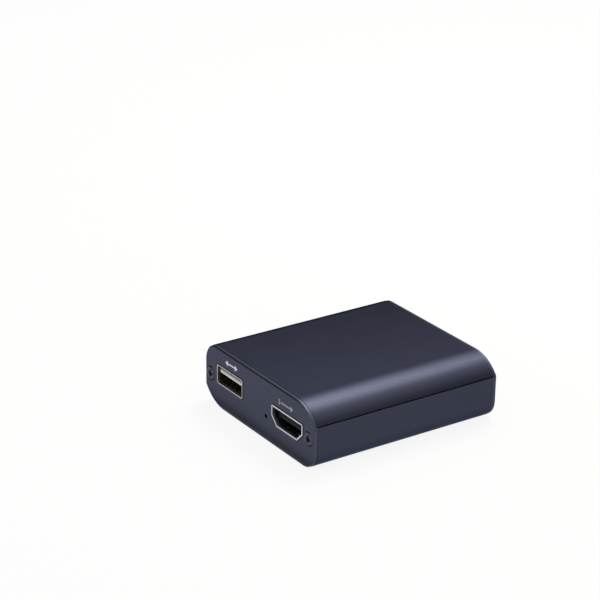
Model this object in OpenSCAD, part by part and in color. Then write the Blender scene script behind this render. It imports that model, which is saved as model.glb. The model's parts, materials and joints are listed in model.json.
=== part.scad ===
// Video capture box: two identical extruded half shells, two end panels and a loaded circuit board.
// Millimetres, +Z up. The port face looks along -Y. The origin is the middle of the footprint.

/* [Case] */
// Width across the port face
case_width = 54.5; // [49.5:0.5:64]
// Height of the case
case_height = 18.3; // [16.5:0.1:21]
// Length over both end panels
case_length = 61; // [55:0.5:80]
// Radius of the two small corners
corner_radius = 5.5; // [4.5:0.1:6]
// Horizontal run of the two large side curves
curve_run = 9.6; // [9:0.1:10.5]
// Drop of the seam below the flat face next to it
seam_drop = 5; // [4.7:0.1:5.2]
// Wall thickness of the half shells
wall = 1.3; // [1.2:0.05:1.4]
// Open width of the seam between the half shells
seam_gap = 0.3; // [0.2:0.05:0.4]

/* [End panels] */
// Thickness of each end panel
panel_thickness = 1.2; // [1.1:0.1:1.6]
// Bevel around the outer edge of each panel
panel_bevel = 0.35; // [0.2:0.05:0.5]
// Diameter of the status light's pinhole
pinhole_diameter = 1.2; // [0.8:0.1:1.6]
// Head diameter of the panel screws
screw_head_diameter = 4.2; // [3.8:0.1:4.4]
// Length of the panel screws under the head
screw_length = 7; // [5:0.5:10]

/* [Ports] */
// Space between the left screw's head and the data port
usb_screw_gap = 1.5; // [1:0.1:1.8]
// Space between the video outlet and the right screw's head
outlet_screw_gap = 0.4; // [0.4:0.1:1]
// Distance of the status light left of the video outlet
light_gap = 2.9; // [2.4:0.1:3.2]
// Distance of the video inlet from the middle of the rear panel
inlet_offset = 0; // [-0.5:0.1:0.5]

/* [Circuit board] */
// Thickness of the board
board_thickness = 1.6; // [1.4:0.1:1.6]

/* [Hidden] */
$fn = 96;
// Reach of a cutter beyond what it cuts
over = 1;

// Case section
half_width = case_width / 2;
mid_height = case_height / 2;
curve_radius = (curve_run * curve_run + seam_drop * seam_drop) / (2 * seam_drop);
curve_x = half_width - curve_run;
curve_z = case_height - curve_radius;
shell_length = case_length - 2 * panel_thickness;
shell_start = -shell_length / 2;
front_y = -case_length / 2;
panel_inset = 0.1;

// Lap, rails and screw channels inside the half shells
lap_clearance = 0.1;
lip_thickness = 1;
lip_x = -half_width + wall + lap_clearance;
rail_thickness = 0.9;
rail_reach = 1;
rail_clearance = 0.1;
lip_root = 1.5;
screw_inset = 2.85;
screw_x = half_width - screw_inset;
channel_radius = 2.1;
channel_bore = 2.5;
channel_slot = 1.2;
channel_gap = 0.15;

// Panel screws
screw_diameter = 2.4;
screw_hole = 2.6;
head_sink = 0.1;
head_dome = 0.35;
recess_width = 0.6;
recess_span = 2.2;
recess_depth = 0.9;
recess_turn = 35;

// Circuit board: its upper rails end just under the screw channels
rail_top = mid_height - channel_radius - channel_gap;
board_top = rail_top - rail_thickness - rail_clearance;
board_bottom = board_top - board_thickness;
edge_gap = 0.15;
left_curve_run = sqrt(pow(curve_radius - wall, 2) - pow(curve_radius - board_bottom, 2));
corner_rise = max(0, corner_radius - board_bottom);
right_corner_run = sqrt(pow(corner_radius - wall, 2) - pow(corner_rise, 2));
board_left = max(lip_x + lip_thickness, -curve_x - left_curve_run) + edge_gap;
board_right = half_width - corner_radius + right_corner_run - edge_gap;
board_gap = 0.5;
board_start = shell_start + board_gap;
board_length = shell_length - 2 * board_gap;
pin_drop = 0.8;
pin_end = board_bottom - pin_drop;
leg_clearance = 0.15;
pin_clearance = 0.1;

// Ports in general
port_proud = 0.15;
port_y = front_y - port_proud;
port_clearance = 0.2;
fit_slack = 0.05;
finger_root = 0.4;
finger_gap = 0.3;

// Data port, sizes of the standard full-size receptacle
usb_width = 13.2;
usb_height = 5.8;
usb_sheet = 0.35;
usb_radius = 0.8;
usb_depth = 13.6;
usb_lift = 1.75;
usb_x = -(screw_x - screw_head_diameter / 2 - usb_screw_gap - usb_width / 2);
usb_z = board_top + usb_lift + usb_height / 2;
usb_inner_width = usb_width - 2 * usb_sheet;
usb_inner_height = usb_height - 2 * usb_sheet;
usb_tongue_width = 11.1;
usb_tongue_thickness = 1.8;
usb_tongue_gap = 0.55;
usb_tongue_recess = 0.5;
usb_tongue_top = usb_inner_height / 2 - usb_tongue_gap;
usb_tongue_bottom = usb_tongue_top - usb_tongue_thickness;
usb_tongue_bevel = 0.5;
usb_tongue_edge = 0.2;
usb_block_start = 9.6;
usb_block_end = 14.4;
usb_foot_inset = 1;
usb_inner_contact = 1;
usb_outer_contact = 3.5;
usb_contact_x = [-usb_outer_contact, -usb_inner_contact, usb_inner_contact, usb_outer_contact];
usb_contact_start = 1.6;
usb_contact_width = 1;
usb_contact_thickness = 0.25;
usb_tail_width = 0.6;
usb_tail_hole = 1;
usb_pin_y = 15;
usb_leg_y = 6;
usb_leg_width = 3.6;
usb_leg_shoulder = 1;
usb_pin_width = 1.6;
usb_finger_x = 3;
usb_finger_y = 3.2;
usb_finger_width = 1.7;
usb_finger_length = 4.6;
usb_finger_dip = 0.25;

// Video ports, sizes of the standard full-size receptacle
video_width = 15;
video_height = 5.8;
video_side = 3.2;
video_base = 9.8;
video_sheet = 0.5;
video_radius = 0.7;
video_depth = 10.9;
video_lift = 0.6;
video_z = board_top + video_lift + video_height / 2;
outlet_x = screw_x - screw_head_diameter / 2 - outlet_screw_gap - video_width / 2;
video_pitch = 1;
video_upper_count = 10;
video_lower_count = 9;
video_tongue_width = 11;
video_tongue_thickness = 1.4;
video_tongue_z = 0.3;
video_tongue_recess = 1.2;
video_tongue_edge = 0.2;
video_block_start = 7.6;
video_block_end = 10.9;
video_block_radius = 0.15;
video_blade_start = 1.9;
video_blade_width = 0.5;
video_tail_width = 0.28;
video_blade_thickness = 0.14;
video_tail_end = 12.6;
video_lower_run = 0.2;
video_upper_run = 0.6;
video_lower_drop = video_block_end + video_lower_run;
video_upper_drop = video_block_end + video_upper_run;
video_leg_width = 2;
video_leg_shoulder = 0.4;
video_leg_root = 0.6;
video_pin_width = 1.2;
video_front_leg = 2.2;
video_rear_leg = 7.4;
video_leg_y = [video_front_leg, video_rear_leg];
video_finger_y = 1.8;
video_finger_width = 1.8;
video_finger_length = 3.6;
video_finger_dip = 0.15;
video_upper_finger = 3.6;
video_lower_finger = 2.6;

// Status light, a 3 mm lamp lying on the board
light_radius = 1.5;
light_panel_gap = 0.1;
light_y = shell_start + light_panel_gap;
light_z = board_top + light_radius;
light_body = 4.2;
light_flange = 0.9;
light_rim = 0.35;
light_lead = 0.5;
light_lead_pitch = 2.54;
light_lead_run = 1.6;
light_lead_hole = 0.9;
light_resistor_gap = 3;
light_x = outlet_x - video_width / 2 - light_gap;
light_lead_y = light_y + light_radius + light_body + light_flange + light_lead_run;

// Parts on the board: middle of each part, as shares of the half width and of the half length
function place(across, along) = [across * half_width, along * shell_length / 2];
capture_at = place(-0.33, -0.1);
splitter_at = place(0.33, 0.07);
memory_at = place(-0.7, 0.2);
crystal_at = [place(0.02, -0.375), place(-0.2, 0.275)];
regulator_at = [place(-0.62, 0.45), place(-0.62, 0.75)];
inductor_at = [place(0.62, 0.5), place(0.62, 0.76)];
can_at = [place(0.66, -0.3), place(-0.68, -0.28), place(-0.68, -0.05)];
guard_shift = 4;
guard_row = place(0, -0.46)[1];
guard_at = [
    [outlet_x - guard_shift, guard_row],
    [outlet_x + guard_shift, guard_row],
    place(-0.18, 0.5),
    place(0.18, 0.5)
];

// Packages of the parts on the board
standoff = 0.1;
pin_mark = 0.8;
pin_mark_inset = 1;
pin_mark_depth = 0.1;
lead_thickness = 0.15;
lead_share = 0.4;
capture_size = 9;
capture_height = 0.9;
splitter_size = 10;
splitter_height = 1.4;
splitter_pins = 16;
splitter_pitch = 0.5;
splitter_lead = 1;
splitter_lead_width = 0.22;
splitter_shoulder = 0.8;
memory_length = 4.9;
memory_width = 3.9;
memory_height = 1.5;
memory_pins = 4;
memory_pitch = 1.27;
memory_lead = 1.05;
memory_lead_width = 0.42;
memory_shoulder = 0.9;
crystal_length = 11;
crystal_width = 4.6;
crystal_height = 3.5;
crystal_flange = 0.5;
crystal_rim = 0.4;
regulator_length = 6.5;
regulator_width = 3.5;
regulator_height = 1.6;
regulator_pitch = 2.3;
regulator_lead = 1.7;
regulator_lead_width = 0.7;
regulator_tab = 3;
regulator_shoulder = 0.9;
inductor_size = 5;
inductor_height = 2.8;
inductor_base = 0.6;
inductor_cap = 0.8;
inductor_core = 3.6;
inductor_corner = 1.2;
can_diameter = 5;
can_height = 5.4;
can_base = 5.3;
can_base_height = 0.8;
can_base_cut = 1.1;
groove_radius = 0.45;
groove_depth = 0.2;
groove_rise = 1;
guard_length = 2.5;
guard_width = 1;
guard_height = 0.6;

// Two-terminal chip parts and the spaces in their rows
chip_length = 1.6;
chip_width = 0.8;
capacitor_height = 0.8;
resistor_height = 0.45;
bulk_length = 3.2;
bulk_width = 1.6;
bulk_height = 1.2;
end_cap_rise = 0.04;
row_pitch = 2.4;
row_gap = 1.1;
bulk_gap = 1.9;

// Unit vector along v
function unit(v) = v / norm(v);

// Half of the angle at corner p between its neighbours a and b
function half_angle(a, p, b) = acos(unit(a - p) * unit(b - p)) / 2;

// The two points where a rounding of radius r leaves the edges at corner p
function tangents(a, p, b, r) =
    let (t = r / tan(half_angle(a, p, b)))
    [p + unit(a - p) * t, p + unit(b - p) * t];

// Middle of the rounding of radius r at corner p
function rounding_middle(a, p, b, r) =
    p + unit(unit(a - p) + unit(b - p)) * r / sin(half_angle(a, p, b));

// Corners of the video port's outline, grown outward by g
function video_corners(g) =
    let (
        run = (video_width - video_base) / 2,
        drop = video_height - video_side,
        slant = norm([run, drop]),
        nx = drop / slant,
        nz = -run / slant,
        side_z = video_height / 2 - video_side,
        x = video_width / 2 + g,
        z = video_height / 2 + g,
        shoulder = side_z + g * nz + g * (1 - nx) * drop / run,
        t = (side_z + g * nz + z) / drop,
        foot = video_width / 2 + g * nx - t * run
    )
    [[-x, z], [-x, shoulder], [-foot, -z], [foot, -z], [x, shoulder], [x, z]];

// Corners of a rectangle about the origin
function rectangle(w, h) = [[-w / 2, h / 2], [-w / 2, -h / 2], [w / 2, -h / 2], [w / 2, h / 2]];

// Extrudes a section drawn in X and Z along +Y
module along_y(start, length) {
    translate([0, start + length, 0])
        rotate([90, 0, 0])
            linear_extrude(height = length)
                children();
}

// Box given by its lowest corner and its highest corner
module box(low, high) {
    translate(low)
        cube(high - low);
}

// Polygon with every corner rounded to radius r
module rounded(points, r) {
    n = len(points);
    polygon([
        for (i = [0 : n - 1])
            each tangents(points[(i + n - 1) % n], points[i], points[(i + 1) % n], r)
    ]);
    for (i = [0 : n - 1])
        translate(rounding_middle(points[(i + n - 1) % n], points[i], points[(i + 1) % n], r))
            circle(r);
}

// Corner left over between a square and a circle of radius r about its near corner, in the +X +Y quadrant
module corner_waste(r, reach) {
    difference() {
        square(reach);
        circle(r);
    }
}

// Leaf-shaped section of the case, set in by i
module case_outline(i) {
    reach = 2 * curve_radius;
    difference() {
        translate([-half_width + i, i])
            square([case_width - 2 * i, case_height - 2 * i]);
        for (turn = [0, 1])
            translate([0, turn * case_height])
                rotate(turn * 180) {
                    translate([-half_width + corner_radius, case_height - corner_radius])
                        rotate(90)
                            corner_waste(corner_radius - i, reach);
                    translate([curve_x, curve_z])
                        corner_waste(curve_radius - i, reach);
                }
    }
}

// Everything below the stepped parting line of the two half shells
module lower_side() {
    right = case_height - seam_drop - seam_gap / 2;
    left = seam_drop - seam_gap / 2;
    polygon([
        [-case_width, -over],
        [case_width, -over],
        [case_width, right],
        [0, right],
        [0, left],
        [-case_width, left]
    ]);
}

// Space inside the right wall's upper end, left free for the other half shell's lip
module lap_relief() {
    reach = 2 * lip_thickness;
    translate([half_width - wall - reach, mid_height + channel_radius])
        square([reach, case_height]);
}

// Strip of a half shell's inside, given by its section's lowest corner and size
module strip(low, size) {
    along_y(shell_start, shell_length)
        translate(low)
            square(size);
}

// Lip behind the seam, board rails and screw channel of one half shell
module shell_fittings() {
    ledge = board_bottom - rail_thickness;
    upper = rail_top - rail_thickness;
    lip_foot = min(ledge, seam_drop - lip_root);
    right = half_width - wall - rail_reach;
    left_rail = [lip_thickness + rail_reach, rail_thickness];
    right_rail = [rail_reach + wall / 2, rail_thickness];
    strip([lip_x, lip_foot], [lip_thickness, rail_top - lip_foot]);
    strip([lip_x, ledge], left_rail);
    strip([lip_x, upper], left_rail);
    strip([right, ledge], right_rail);
    strip([right, upper], right_rail);
    along_y(shell_start, shell_length)
        translate([screw_x, mid_height])
            circle(channel_radius);
}

// Lower half shell; the upper one is the same extrusion turned half round
module half_shell() {
    difference() {
        union() {
            along_y(shell_start, shell_length)
                intersection() {
                    difference() {
                        case_outline(0);
                        case_outline(wall);
                        lap_relief();
                    }
                    lower_side();
                }
            intersection() {
                along_y(shell_start, shell_length)
                    case_outline(wall / 2);
                shell_fittings();
            }
        }
        along_y(shell_start - over, shell_length + 2 * over)
            translate([screw_x, mid_height])
                circle(d = channel_bore);
        along_y(shell_start - over, shell_length + 2 * over)
            translate([screw_x - 2 * channel_radius, mid_height - channel_slot / 2])
                square([2 * channel_radius, channel_slot]);
    }
}

// Turns a piece half round about the case's long middle line
module half_turn() {
    translate([0, 0, case_height])
        rotate([0, 180, 0])
            children();
}

module bottom_shell() {
    color([0.22, 0.23, 0.29])
        half_shell();
}

module top_shell() {
    color([0.22, 0.23, 0.29])
        half_turn()
            half_shell();
}

// Waste outside a cone that narrows toward y = 0, in the +X +Z quadrant about its axis
module cone_waste(r, depth, reach) {
    difference() {
        box([0, -over, 0], [reach, depth, reach]);
        translate([0, -2 * over, 0])
            rotate([-90, 0, 0])
                cylinder(h = depth + 4 * over, r1 = r - depth - 2 * over, r2 = r + 2 * over);
    }
}

// Waste that leaves a bevel along the upper edge of a panel whose outer face is at y = 0
module edge_waste(depth) {
    reach = 2 * case_width;
    thick = 2 * panel_thickness;
    translate([-reach / 2, depth, case_height - panel_inset])
        rotate([45, 0, 0])
            translate([0, -thick, 0])
                cube([reach, 2 * thick, thick]);
}

// Waste that leaves a bevel along the right edge of a panel whose outer face is at y = 0
module side_waste(depth) {
    reach = 2 * case_width;
    thick = 2 * panel_thickness;
    translate([half_width - panel_inset, depth, -reach / 2])
        rotate(-45)
            translate([0, -thick, 0])
                cube([thick, 2 * thick, reach]);
}

// End panel with its bevelled outer edge and two countersunk screw holes, outer face at y = 0
module panel_blank() {
    reach = 2 * curve_radius;
    difference() {
        along_y(0, panel_thickness)
            case_outline(panel_inset);
        for (turn = [0, 1])
            translate([0, 0, turn * case_height])
                rotate([0, turn * 180, 0]) {
                    edge_waste(panel_bevel);
                    side_waste(panel_bevel);
                    translate([-half_width + corner_radius, 0, case_height - corner_radius])
                        rotate([0, -90, 0])
                            cone_waste(corner_radius - panel_inset, panel_bevel, reach);
                    translate([curve_x, 0, curve_z])
                        cone_waste(curve_radius - panel_inset, panel_bevel, reach);
                }
        for (side = [-1, 1])
            translate([side * screw_x, 0, mid_height])
                rotate([-90, 0, 0])
                    screw_cut();
    }
}

// Clearance hole and countersink of a panel screw, along +Z from the panel's outer face
module screw_cut() {
    wide = screw_head_diameter / 2 + head_sink;
    narrow = screw_hole / 2;
    translate([0, 0, -over])
        cylinder(h = panel_thickness + 2 * over, r = narrow);
    translate([0, 0, -over])
        cylinder(h = wide - narrow + over, r1 = wide + over, r2 = narrow);
}

module front_panel() {
    color([0.27, 0.28, 0.33])
        difference() {
            translate([0, front_y, 0])
                panel_blank();
            translate([usb_x, front_y - over, usb_z])
                along_y(0, panel_thickness + 2 * over)
                    rounded(
                        rectangle(usb_width + 2 * port_clearance, usb_height + 2 * port_clearance),
                        usb_radius + port_clearance
                    );
            translate([outlet_x, front_y - over, video_z])
                along_y(0, panel_thickness + 2 * over)
                    rounded(video_corners(port_clearance), video_radius + port_clearance);
            translate([light_x, front_y - over, light_z])
                rotate([-90, 0, 0])
                    cylinder(h = panel_thickness + 2 * over, d = pinhole_diameter);
        }
}

module rear_panel() {
    color([0.27, 0.28, 0.33])
        difference() {
            translate([0, -front_y, 0])
                mirror([0, 1, 0])
                    panel_blank();
            translate([inlet_offset, -front_y - panel_thickness - over, video_z])
                along_y(0, panel_thickness + 2 * over)
                    rounded(video_corners(port_clearance), video_radius + port_clearance);
        }
}

// Countersunk screw with a low dome and a cross recess, along +Z from the panel's outer face
module panel_screw() {
    r = screw_diameter / 2;
    head = screw_head_diameter / 2;
    dome_radius = (head * head + head_dome * head_dome) / (2 * head_dome);
    difference() {
        rotate_extrude() {
            polygon([
                [0, head_sink],
                [head, head_sink],
                [r, head_sink + head - r],
                [r, screw_length - r],
                [0, screw_length]
            ]);
            intersection() {
                translate([0, head_sink + dome_radius - head_dome])
                    circle(dome_radius);
                translate([0, head_sink - 2 * head_dome])
                    square([head, 2 * head_dome]);
            }
        }
        for (turn = [recess_turn, recess_turn + 90])
            rotate(turn)
                translate([-recess_span / 2, -recess_width / 2, -over])
                    cube([recess_span, recess_width, over + head_sink - head_dome + recess_depth]);
    }
}

module front_screws() {
    color([0.1, 0.1, 0.11])
        for (side = [-1, 1])
            translate([side * screw_x, front_y, mid_height])
                rotate([-90, 0, 0])
                    panel_screw();
}

module rear_screws() {
    color([0.1, 0.1, 0.11])
        for (side = [-1, 1])
            translate([side * screw_x, -front_y, mid_height])
                rotate([90, 0, 0])
                    panel_screw();
}

// Places a video port: at the front outlet, or turned round at the rear inlet
module at_outlet() {
    translate([outlet_x, port_y, video_z])
        children();
}

module at_inlet() {
    translate([inlet_offset, -port_y, video_z])
        rotate(180)
            children();
}

// Slots for the four legs of a video port
module video_leg_slots() {
    width = video_sheet + 2 * leg_clearance;
    for (side = [-1, 1])
        for (y = video_leg_y)
            translate([
                side * (video_width - video_sheet) / 2 - width / 2,
                y + video_leg_shoulder - pin_clearance,
                -video_z - over
            ])
                cube([width, video_pin_width + 2 * pin_clearance, board_top + 2 * over]);
}

module circuit_board() {
    slot = usb_sheet + 2 * leg_clearance;
    slot_y = port_y + usb_leg_y + usb_leg_shoulder - pin_clearance;
    color([0.07, 0.25, 0.16])
        difference() {
            box(
                [board_left, board_start, board_bottom],
                [board_right, board_start + board_length, board_top]
            );
            at_outlet()
                video_leg_slots();
            at_inlet()
                video_leg_slots();
            for (side = [-1, 1])
                translate([usb_x + side * (usb_width - usb_sheet) / 2 - slot / 2, slot_y, 0])
                    cube([slot, usb_pin_width + 2 * pin_clearance, board_top + over]);
            for (x = usb_contact_x)
                translate([usb_x + x, port_y + usb_pin_y, 0])
                    cylinder(h = board_top + over, d = usb_tail_hole);
            for (side = [-1, 1])
                translate([light_x + side * light_lead_pitch / 2, light_lead_y, 0])
                    cylinder(h = board_top + over, d = light_lead_hole);
        }
}

// Sheet-metal spring finger, rooted at y = length and dipping along -Z toward y = 0
module spring_finger(width, length, sheet, dip) {
    whole = length + finger_root;
    translate([-width / 2, whole, 0])
        rotate([atan(dip / length), 0, 0])
            translate([0, -whole, -sheet])
                cube([width, whole, sheet]);
}

// Window around a spring finger
module finger_window(width, length, sheet) {
    translate([-width / 2 - finger_gap, -finger_root, -2 * sheet])
        cube([width + 2 * finger_gap, length + finger_root, 4 * sheet]);
}

module usb_shell() {
    color([0.8, 0.79, 0.75])
        translate([usb_x, port_y, usb_z]) {
            difference() {
                along_y(0, usb_depth)
                    difference() {
                        rounded(rectangle(usb_width, usb_height), usb_radius);
                        rounded(rectangle(usb_inner_width, usb_inner_height), usb_radius - usb_sheet);
                    }
                usb_fingers()
                    finger_window(usb_finger_width, usb_finger_length, usb_sheet);
            }
            usb_fingers()
                spring_finger(usb_finger_width, usb_finger_length, usb_sheet, usb_finger_dip);
            for (side = [-1, 1])
                usb_leg(side);
        }
}

// Places of the data port's four spring fingers
module usb_fingers() {
    for (turn = [0, 180])
        for (x = [-usb_finger_x, usb_finger_x])
            rotate([0, turn, 0])
                translate([x, usb_finger_y, usb_height / 2])
                    children();
}

// Side leg of the data port: a shoulder that stands on the board and a pin that passes through it
module usb_leg(side) {
    outer = side * usb_width / 2;
    inner = side * (usb_width / 2 - usb_sheet);
    low_x = min(outer, inner);
    high_x = max(outer, inner);
    floor_z = board_top - usb_z;
    pin_y = usb_leg_y + usb_leg_shoulder;
    box(
        [low_x, usb_leg_y, floor_z],
        [high_x, usb_leg_y + usb_leg_width, -usb_height / 2 + usb_radius]
    );
    box(
        [low_x, pin_y, pin_end - usb_z],
        [high_x, pin_y + usb_pin_width, floor_z]
    );
}

// Four flat contacts under the tongue, with their pins behind the block
module usb_contact_bars() {
    top = usb_tongue_bottom;
    half_blade = usb_contact_width / 2;
    half_tail = usb_tail_width / 2;
    half_thick = usb_contact_thickness / 2;
    for (x = usb_contact_x) {
        box(
            [x - half_blade, usb_contact_start, top - usb_contact_thickness],
            [x + half_blade, usb_pin_y + half_thick, top]
        );
        box(
            [x - half_tail, usb_pin_y - half_thick, pin_end - usb_z],
            [x + half_tail, usb_pin_y + half_thick, top - usb_contact_thickness]
        );
    }
}

module usb_contacts() {
    color([0.85, 0.7, 0.35])
        translate([usb_x, port_y, usb_z])
            usb_contact_bars();
}

module usb_insulator() {
    half_tongue = usb_tongue_width / 2;
    half_foot = usb_inner_width / 2 - usb_foot_inset;
    color([0.93, 0.92, 0.88])
        translate([usb_x, port_y, usb_z])
            difference() {
                union() {
                    along_y(usb_block_start, usb_block_end - usb_block_start)
                        rounded(
                            rectangle(usb_inner_width - 2 * fit_slack, usb_inner_height - 2 * fit_slack),
                            usb_radius - usb_sheet - fit_slack
                        );
                    box(
                        [-half_tongue, usb_tongue_recess, usb_tongue_bottom],
                        [half_tongue, usb_block_start + over, usb_tongue_top]
                    );
                    box(
                        [-half_foot, usb_depth + fit_slack, board_top - usb_z],
                        [half_foot, usb_block_end, 0]
                    );
                }
                usb_contact_bars();
                tongue_edge(usb_width, usb_tongue_recess, usb_tongue_bottom, usb_tongue_bevel);
                tongue_edge(usb_width, usb_tongue_recess, usb_tongue_top, usb_tongue_edge);
            }
}

// Waste that bevels a tongue's front edge at y and z by the given leg
module tongue_edge(width, y, z, leg) {
    side = sqrt(2) * leg;
    translate([0, y, z])
        rotate([45, 0, 0])
            cube([width, side, side], center = true);
}

module video_shell() {
    difference() {
        along_y(0, video_depth)
            difference() {
                rounded(video_corners(0), video_radius);
                rounded(video_corners(-video_sheet), video_radius - video_sheet);
            }
        video_fingers()
            finger_window(video_finger_width, video_finger_length, video_sheet);
    }
    video_fingers()
        spring_finger(video_finger_width, video_finger_length, video_sheet, video_finger_dip);
    for (side = [-1, 1])
        for (y = video_leg_y)
            video_leg(side, y);
}

// Places of a video port's spring fingers, two in its wide face and two in its narrow one
module video_fingers() {
    for (face = [[0, video_upper_finger], [180, video_lower_finger]])
        for (x = [-face[1], face[1]])
            rotate([0, face[0], 0])
                translate([x, video_finger_y, video_height / 2])
                    children();
}

// Side leg of a video port
module video_leg(side, y) {
    outer = side * video_width / 2;
    inner = side * (video_width / 2 - video_sheet);
    low_x = min(outer, inner);
    high_x = max(outer, inner);
    floor_z = board_top - video_z;
    root = video_height / 2 - video_side + video_leg_root;
    pin_y = y + video_leg_shoulder;
    box([low_x, y, floor_z], [high_x, y + video_leg_width, root]);
    box([low_x, pin_y, pin_end - video_z], [high_x, pin_y + video_pin_width, floor_z]);
}

// One contact of a video port at x: blade on the tongue, drop behind the block, foot on the board
module video_contact(x, z, drop_y) {
    half_blade = video_blade_width / 2;
    half_tail = video_tail_width / 2;
    floor_z = board_top - video_z;
    thick = video_blade_thickness;
    box([x - half_blade, video_blade_start, z], [x + half_blade, video_block_start, z + thick]);
    box([x - half_tail, video_block_start, z], [x + half_tail, drop_y + thick, z + thick]);
    box([x - half_tail, drop_y, floor_z], [x + half_tail, drop_y + thick, z]);
    box([x - half_tail, drop_y + thick, floor_z], [x + half_tail, video_tail_end, floor_z + thick]);
}

module video_contact_bars() {
    upper = video_tongue_z + video_tongue_thickness / 2;
    lower = video_tongue_z - video_tongue_thickness / 2 - video_blade_thickness;
    for (i = [0 : video_upper_count - 1])
        video_contact((i - (video_upper_count - 1) / 2) * video_pitch, upper, video_upper_drop);
    for (i = [0 : video_lower_count - 1])
        video_contact((i - (video_lower_count - 1) / 2) * video_pitch, lower, video_lower_drop);
}

module video_insulator() {
    half_tongue = video_tongue_width / 2;
    low = video_tongue_z - video_tongue_thickness / 2;
    high = video_tongue_z + video_tongue_thickness / 2;
    difference() {
        union() {
            along_y(video_block_start, video_block_end - video_block_start)
                rounded(video_corners(-video_sheet - fit_slack), video_block_radius);
            box([-half_tongue, video_tongue_recess, low], [half_tongue, video_block_start + over, high]);
        }
        video_contact_bars();
        tongue_edge(video_width, video_tongue_recess, low, video_tongue_edge);
        tongue_edge(video_width, video_tongue_recess, high, video_tongue_edge);
    }
}

module outlet_shell() {
    color([0.82, 0.82, 0.84])
        at_outlet()
            video_shell();
}

module outlet_insulator() {
    color([0.05, 0.05, 0.06])
        at_outlet()
            video_insulator();
}

module outlet_contacts() {
    color([0.85, 0.7, 0.35])
        at_outlet()
            video_contact_bars();
}

module inlet_shell() {
    color([0.82, 0.82, 0.84])
        at_inlet()
            video_shell();
}

module inlet_insulator() {
    color([0.05, 0.05, 0.06])
        at_inlet()
            video_insulator();
}

module inlet_contacts() {
    color([0.85, 0.7, 0.35])
        at_inlet()
            video_contact_bars();
}

// Puts a part with its underside at z = 0 onto the board
module on_board(at) {
    translate([at[0], at[1], board_top])
        children();
}

// Flat block about the origin in X and Y
module slab(x, y, low, high) {
    box([-x / 2, -y / 2, low], [x / 2, y / 2, high]);
}

// Moulded chip body with a round pin mark near one corner
module chip_body(x, y, low, high) {
    difference() {
        slab(x, y, low, high);
        translate([-x / 2 + pin_mark_inset, y / 2 - pin_mark_inset, high - pin_mark_depth])
            cylinder(h = over, d = pin_mark);
    }
}

module capture_chip() {
    color([0.06, 0.06, 0.07])
        on_board(capture_at)
            chip_body(capture_size, capture_size, 0, capture_height);
}

module splitter_chip() {
    color([0.06, 0.06, 0.07])
        on_board(splitter_at)
            chip_body(splitter_size, splitter_size, standoff, standoff + splitter_height);
}

// One gull-wing lead along +X from a chip's side at x = 0
module gull_lead(width, shoulder, reach) {
    knee = reach * lead_share;
    thick = lead_thickness;
    box([0, -width / 2, shoulder - thick], [knee, width / 2, shoulder]);
    box([knee - thick, -width / 2, thick], [knee, width / 2, shoulder - thick]);
    box([knee - thick, -width / 2, 0], [reach, width / 2, thick]);
}

// Row of gull-wing leads about the middle of a chip's side at x
module lead_row(x, count, pitch, width, shoulder, reach) {
    for (i = [0 : count - 1])
        translate([x, (i - (count - 1) / 2) * pitch, 0])
            gull_lead(width, shoulder, reach);
}

module splitter_leads() {
    color([0.75, 0.75, 0.77])
        on_board(splitter_at)
            for (turn = [0 : 90 : 270])
                rotate(turn)
                    lead_row(
                        splitter_size / 2,
                        splitter_pins,
                        splitter_pitch,
                        splitter_lead_width,
                        splitter_shoulder,
                        splitter_lead
                    );
}

module memory_chip() {
    color([0.06, 0.06, 0.07])
        on_board(memory_at)
            chip_body(memory_width, memory_length, standoff, standoff + memory_height);
}

module memory_leads() {
    color([0.75, 0.75, 0.77])
        on_board(memory_at)
            for (turn = [0, 180])
                rotate(turn)
                    lead_row(
                        memory_width / 2,
                        memory_pins,
                        memory_pitch,
                        memory_lead_width,
                        memory_shoulder,
                        memory_lead
                    );
}

// Slab with round ends along X
module stadium(length, width, low, high) {
    straight = (length - width) / 2;
    translate([0, 0, low])
        linear_extrude(height = high - low) {
            square([2 * straight, width], center = true);
            for (side = [-1, 1])
                translate([side * straight, 0])
                    circle(d = width);
        }
}

module crystals() {
    can_length = crystal_length - 2 * crystal_rim;
    can_width = crystal_width - 2 * crystal_rim;
    color([0.78, 0.78, 0.8])
        for (at = crystal_at)
            on_board(at) {
                stadium(crystal_length, crystal_width, 0, crystal_flange);
                stadium(can_length, can_width, crystal_flange, crystal_height);
            }
}

module voltage_regulators() {
    color([0.06, 0.06, 0.07])
        for (at = regulator_at)
            on_board(at)
                slab(regulator_width, regulator_length, standoff, standoff + regulator_height);
}

module regulator_leads() {
    side = regulator_width / 2;
    color([0.75, 0.75, 0.77])
        for (at = regulator_at)
            on_board(at) {
                for (y = [-regulator_pitch, 0, regulator_pitch])
                    translate([side, y, 0])
                        gull_lead(regulator_lead_width, regulator_shoulder, regulator_lead);
                rotate(180)
                    translate([side, 0, 0])
                        gull_lead(regulator_tab, regulator_shoulder, regulator_lead);
            }
}

module inductors() {
    color([0.25, 0.25, 0.27])
        for (at = inductor_at)
            on_board(at) {
                slab(inductor_size, inductor_size, 0, inductor_base);
                translate([0, 0, inductor_base])
                    cylinder(h = inductor_height - inductor_base - inductor_cap, d = inductor_core);
                translate([0, 0, inductor_height - inductor_cap])
                    linear_extrude(height = inductor_cap)
                        rounded(rectangle(inductor_size, inductor_size), inductor_corner);
            }
}

// Can of an upright capacitor with its pressed groove
module capacitor_cans() {
    r = can_diameter / 2;
    color([0.8, 0.8, 0.82])
        for (at = can_at)
            on_board(at)
                rotate_extrude()
                    difference() {
                        translate([0, can_base_height])
                            square([r, can_height - can_base_height]);
                        translate([r + groove_radius - groove_depth, can_base_height + groove_rise])
                            circle(groove_radius);
                    }
}

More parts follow.
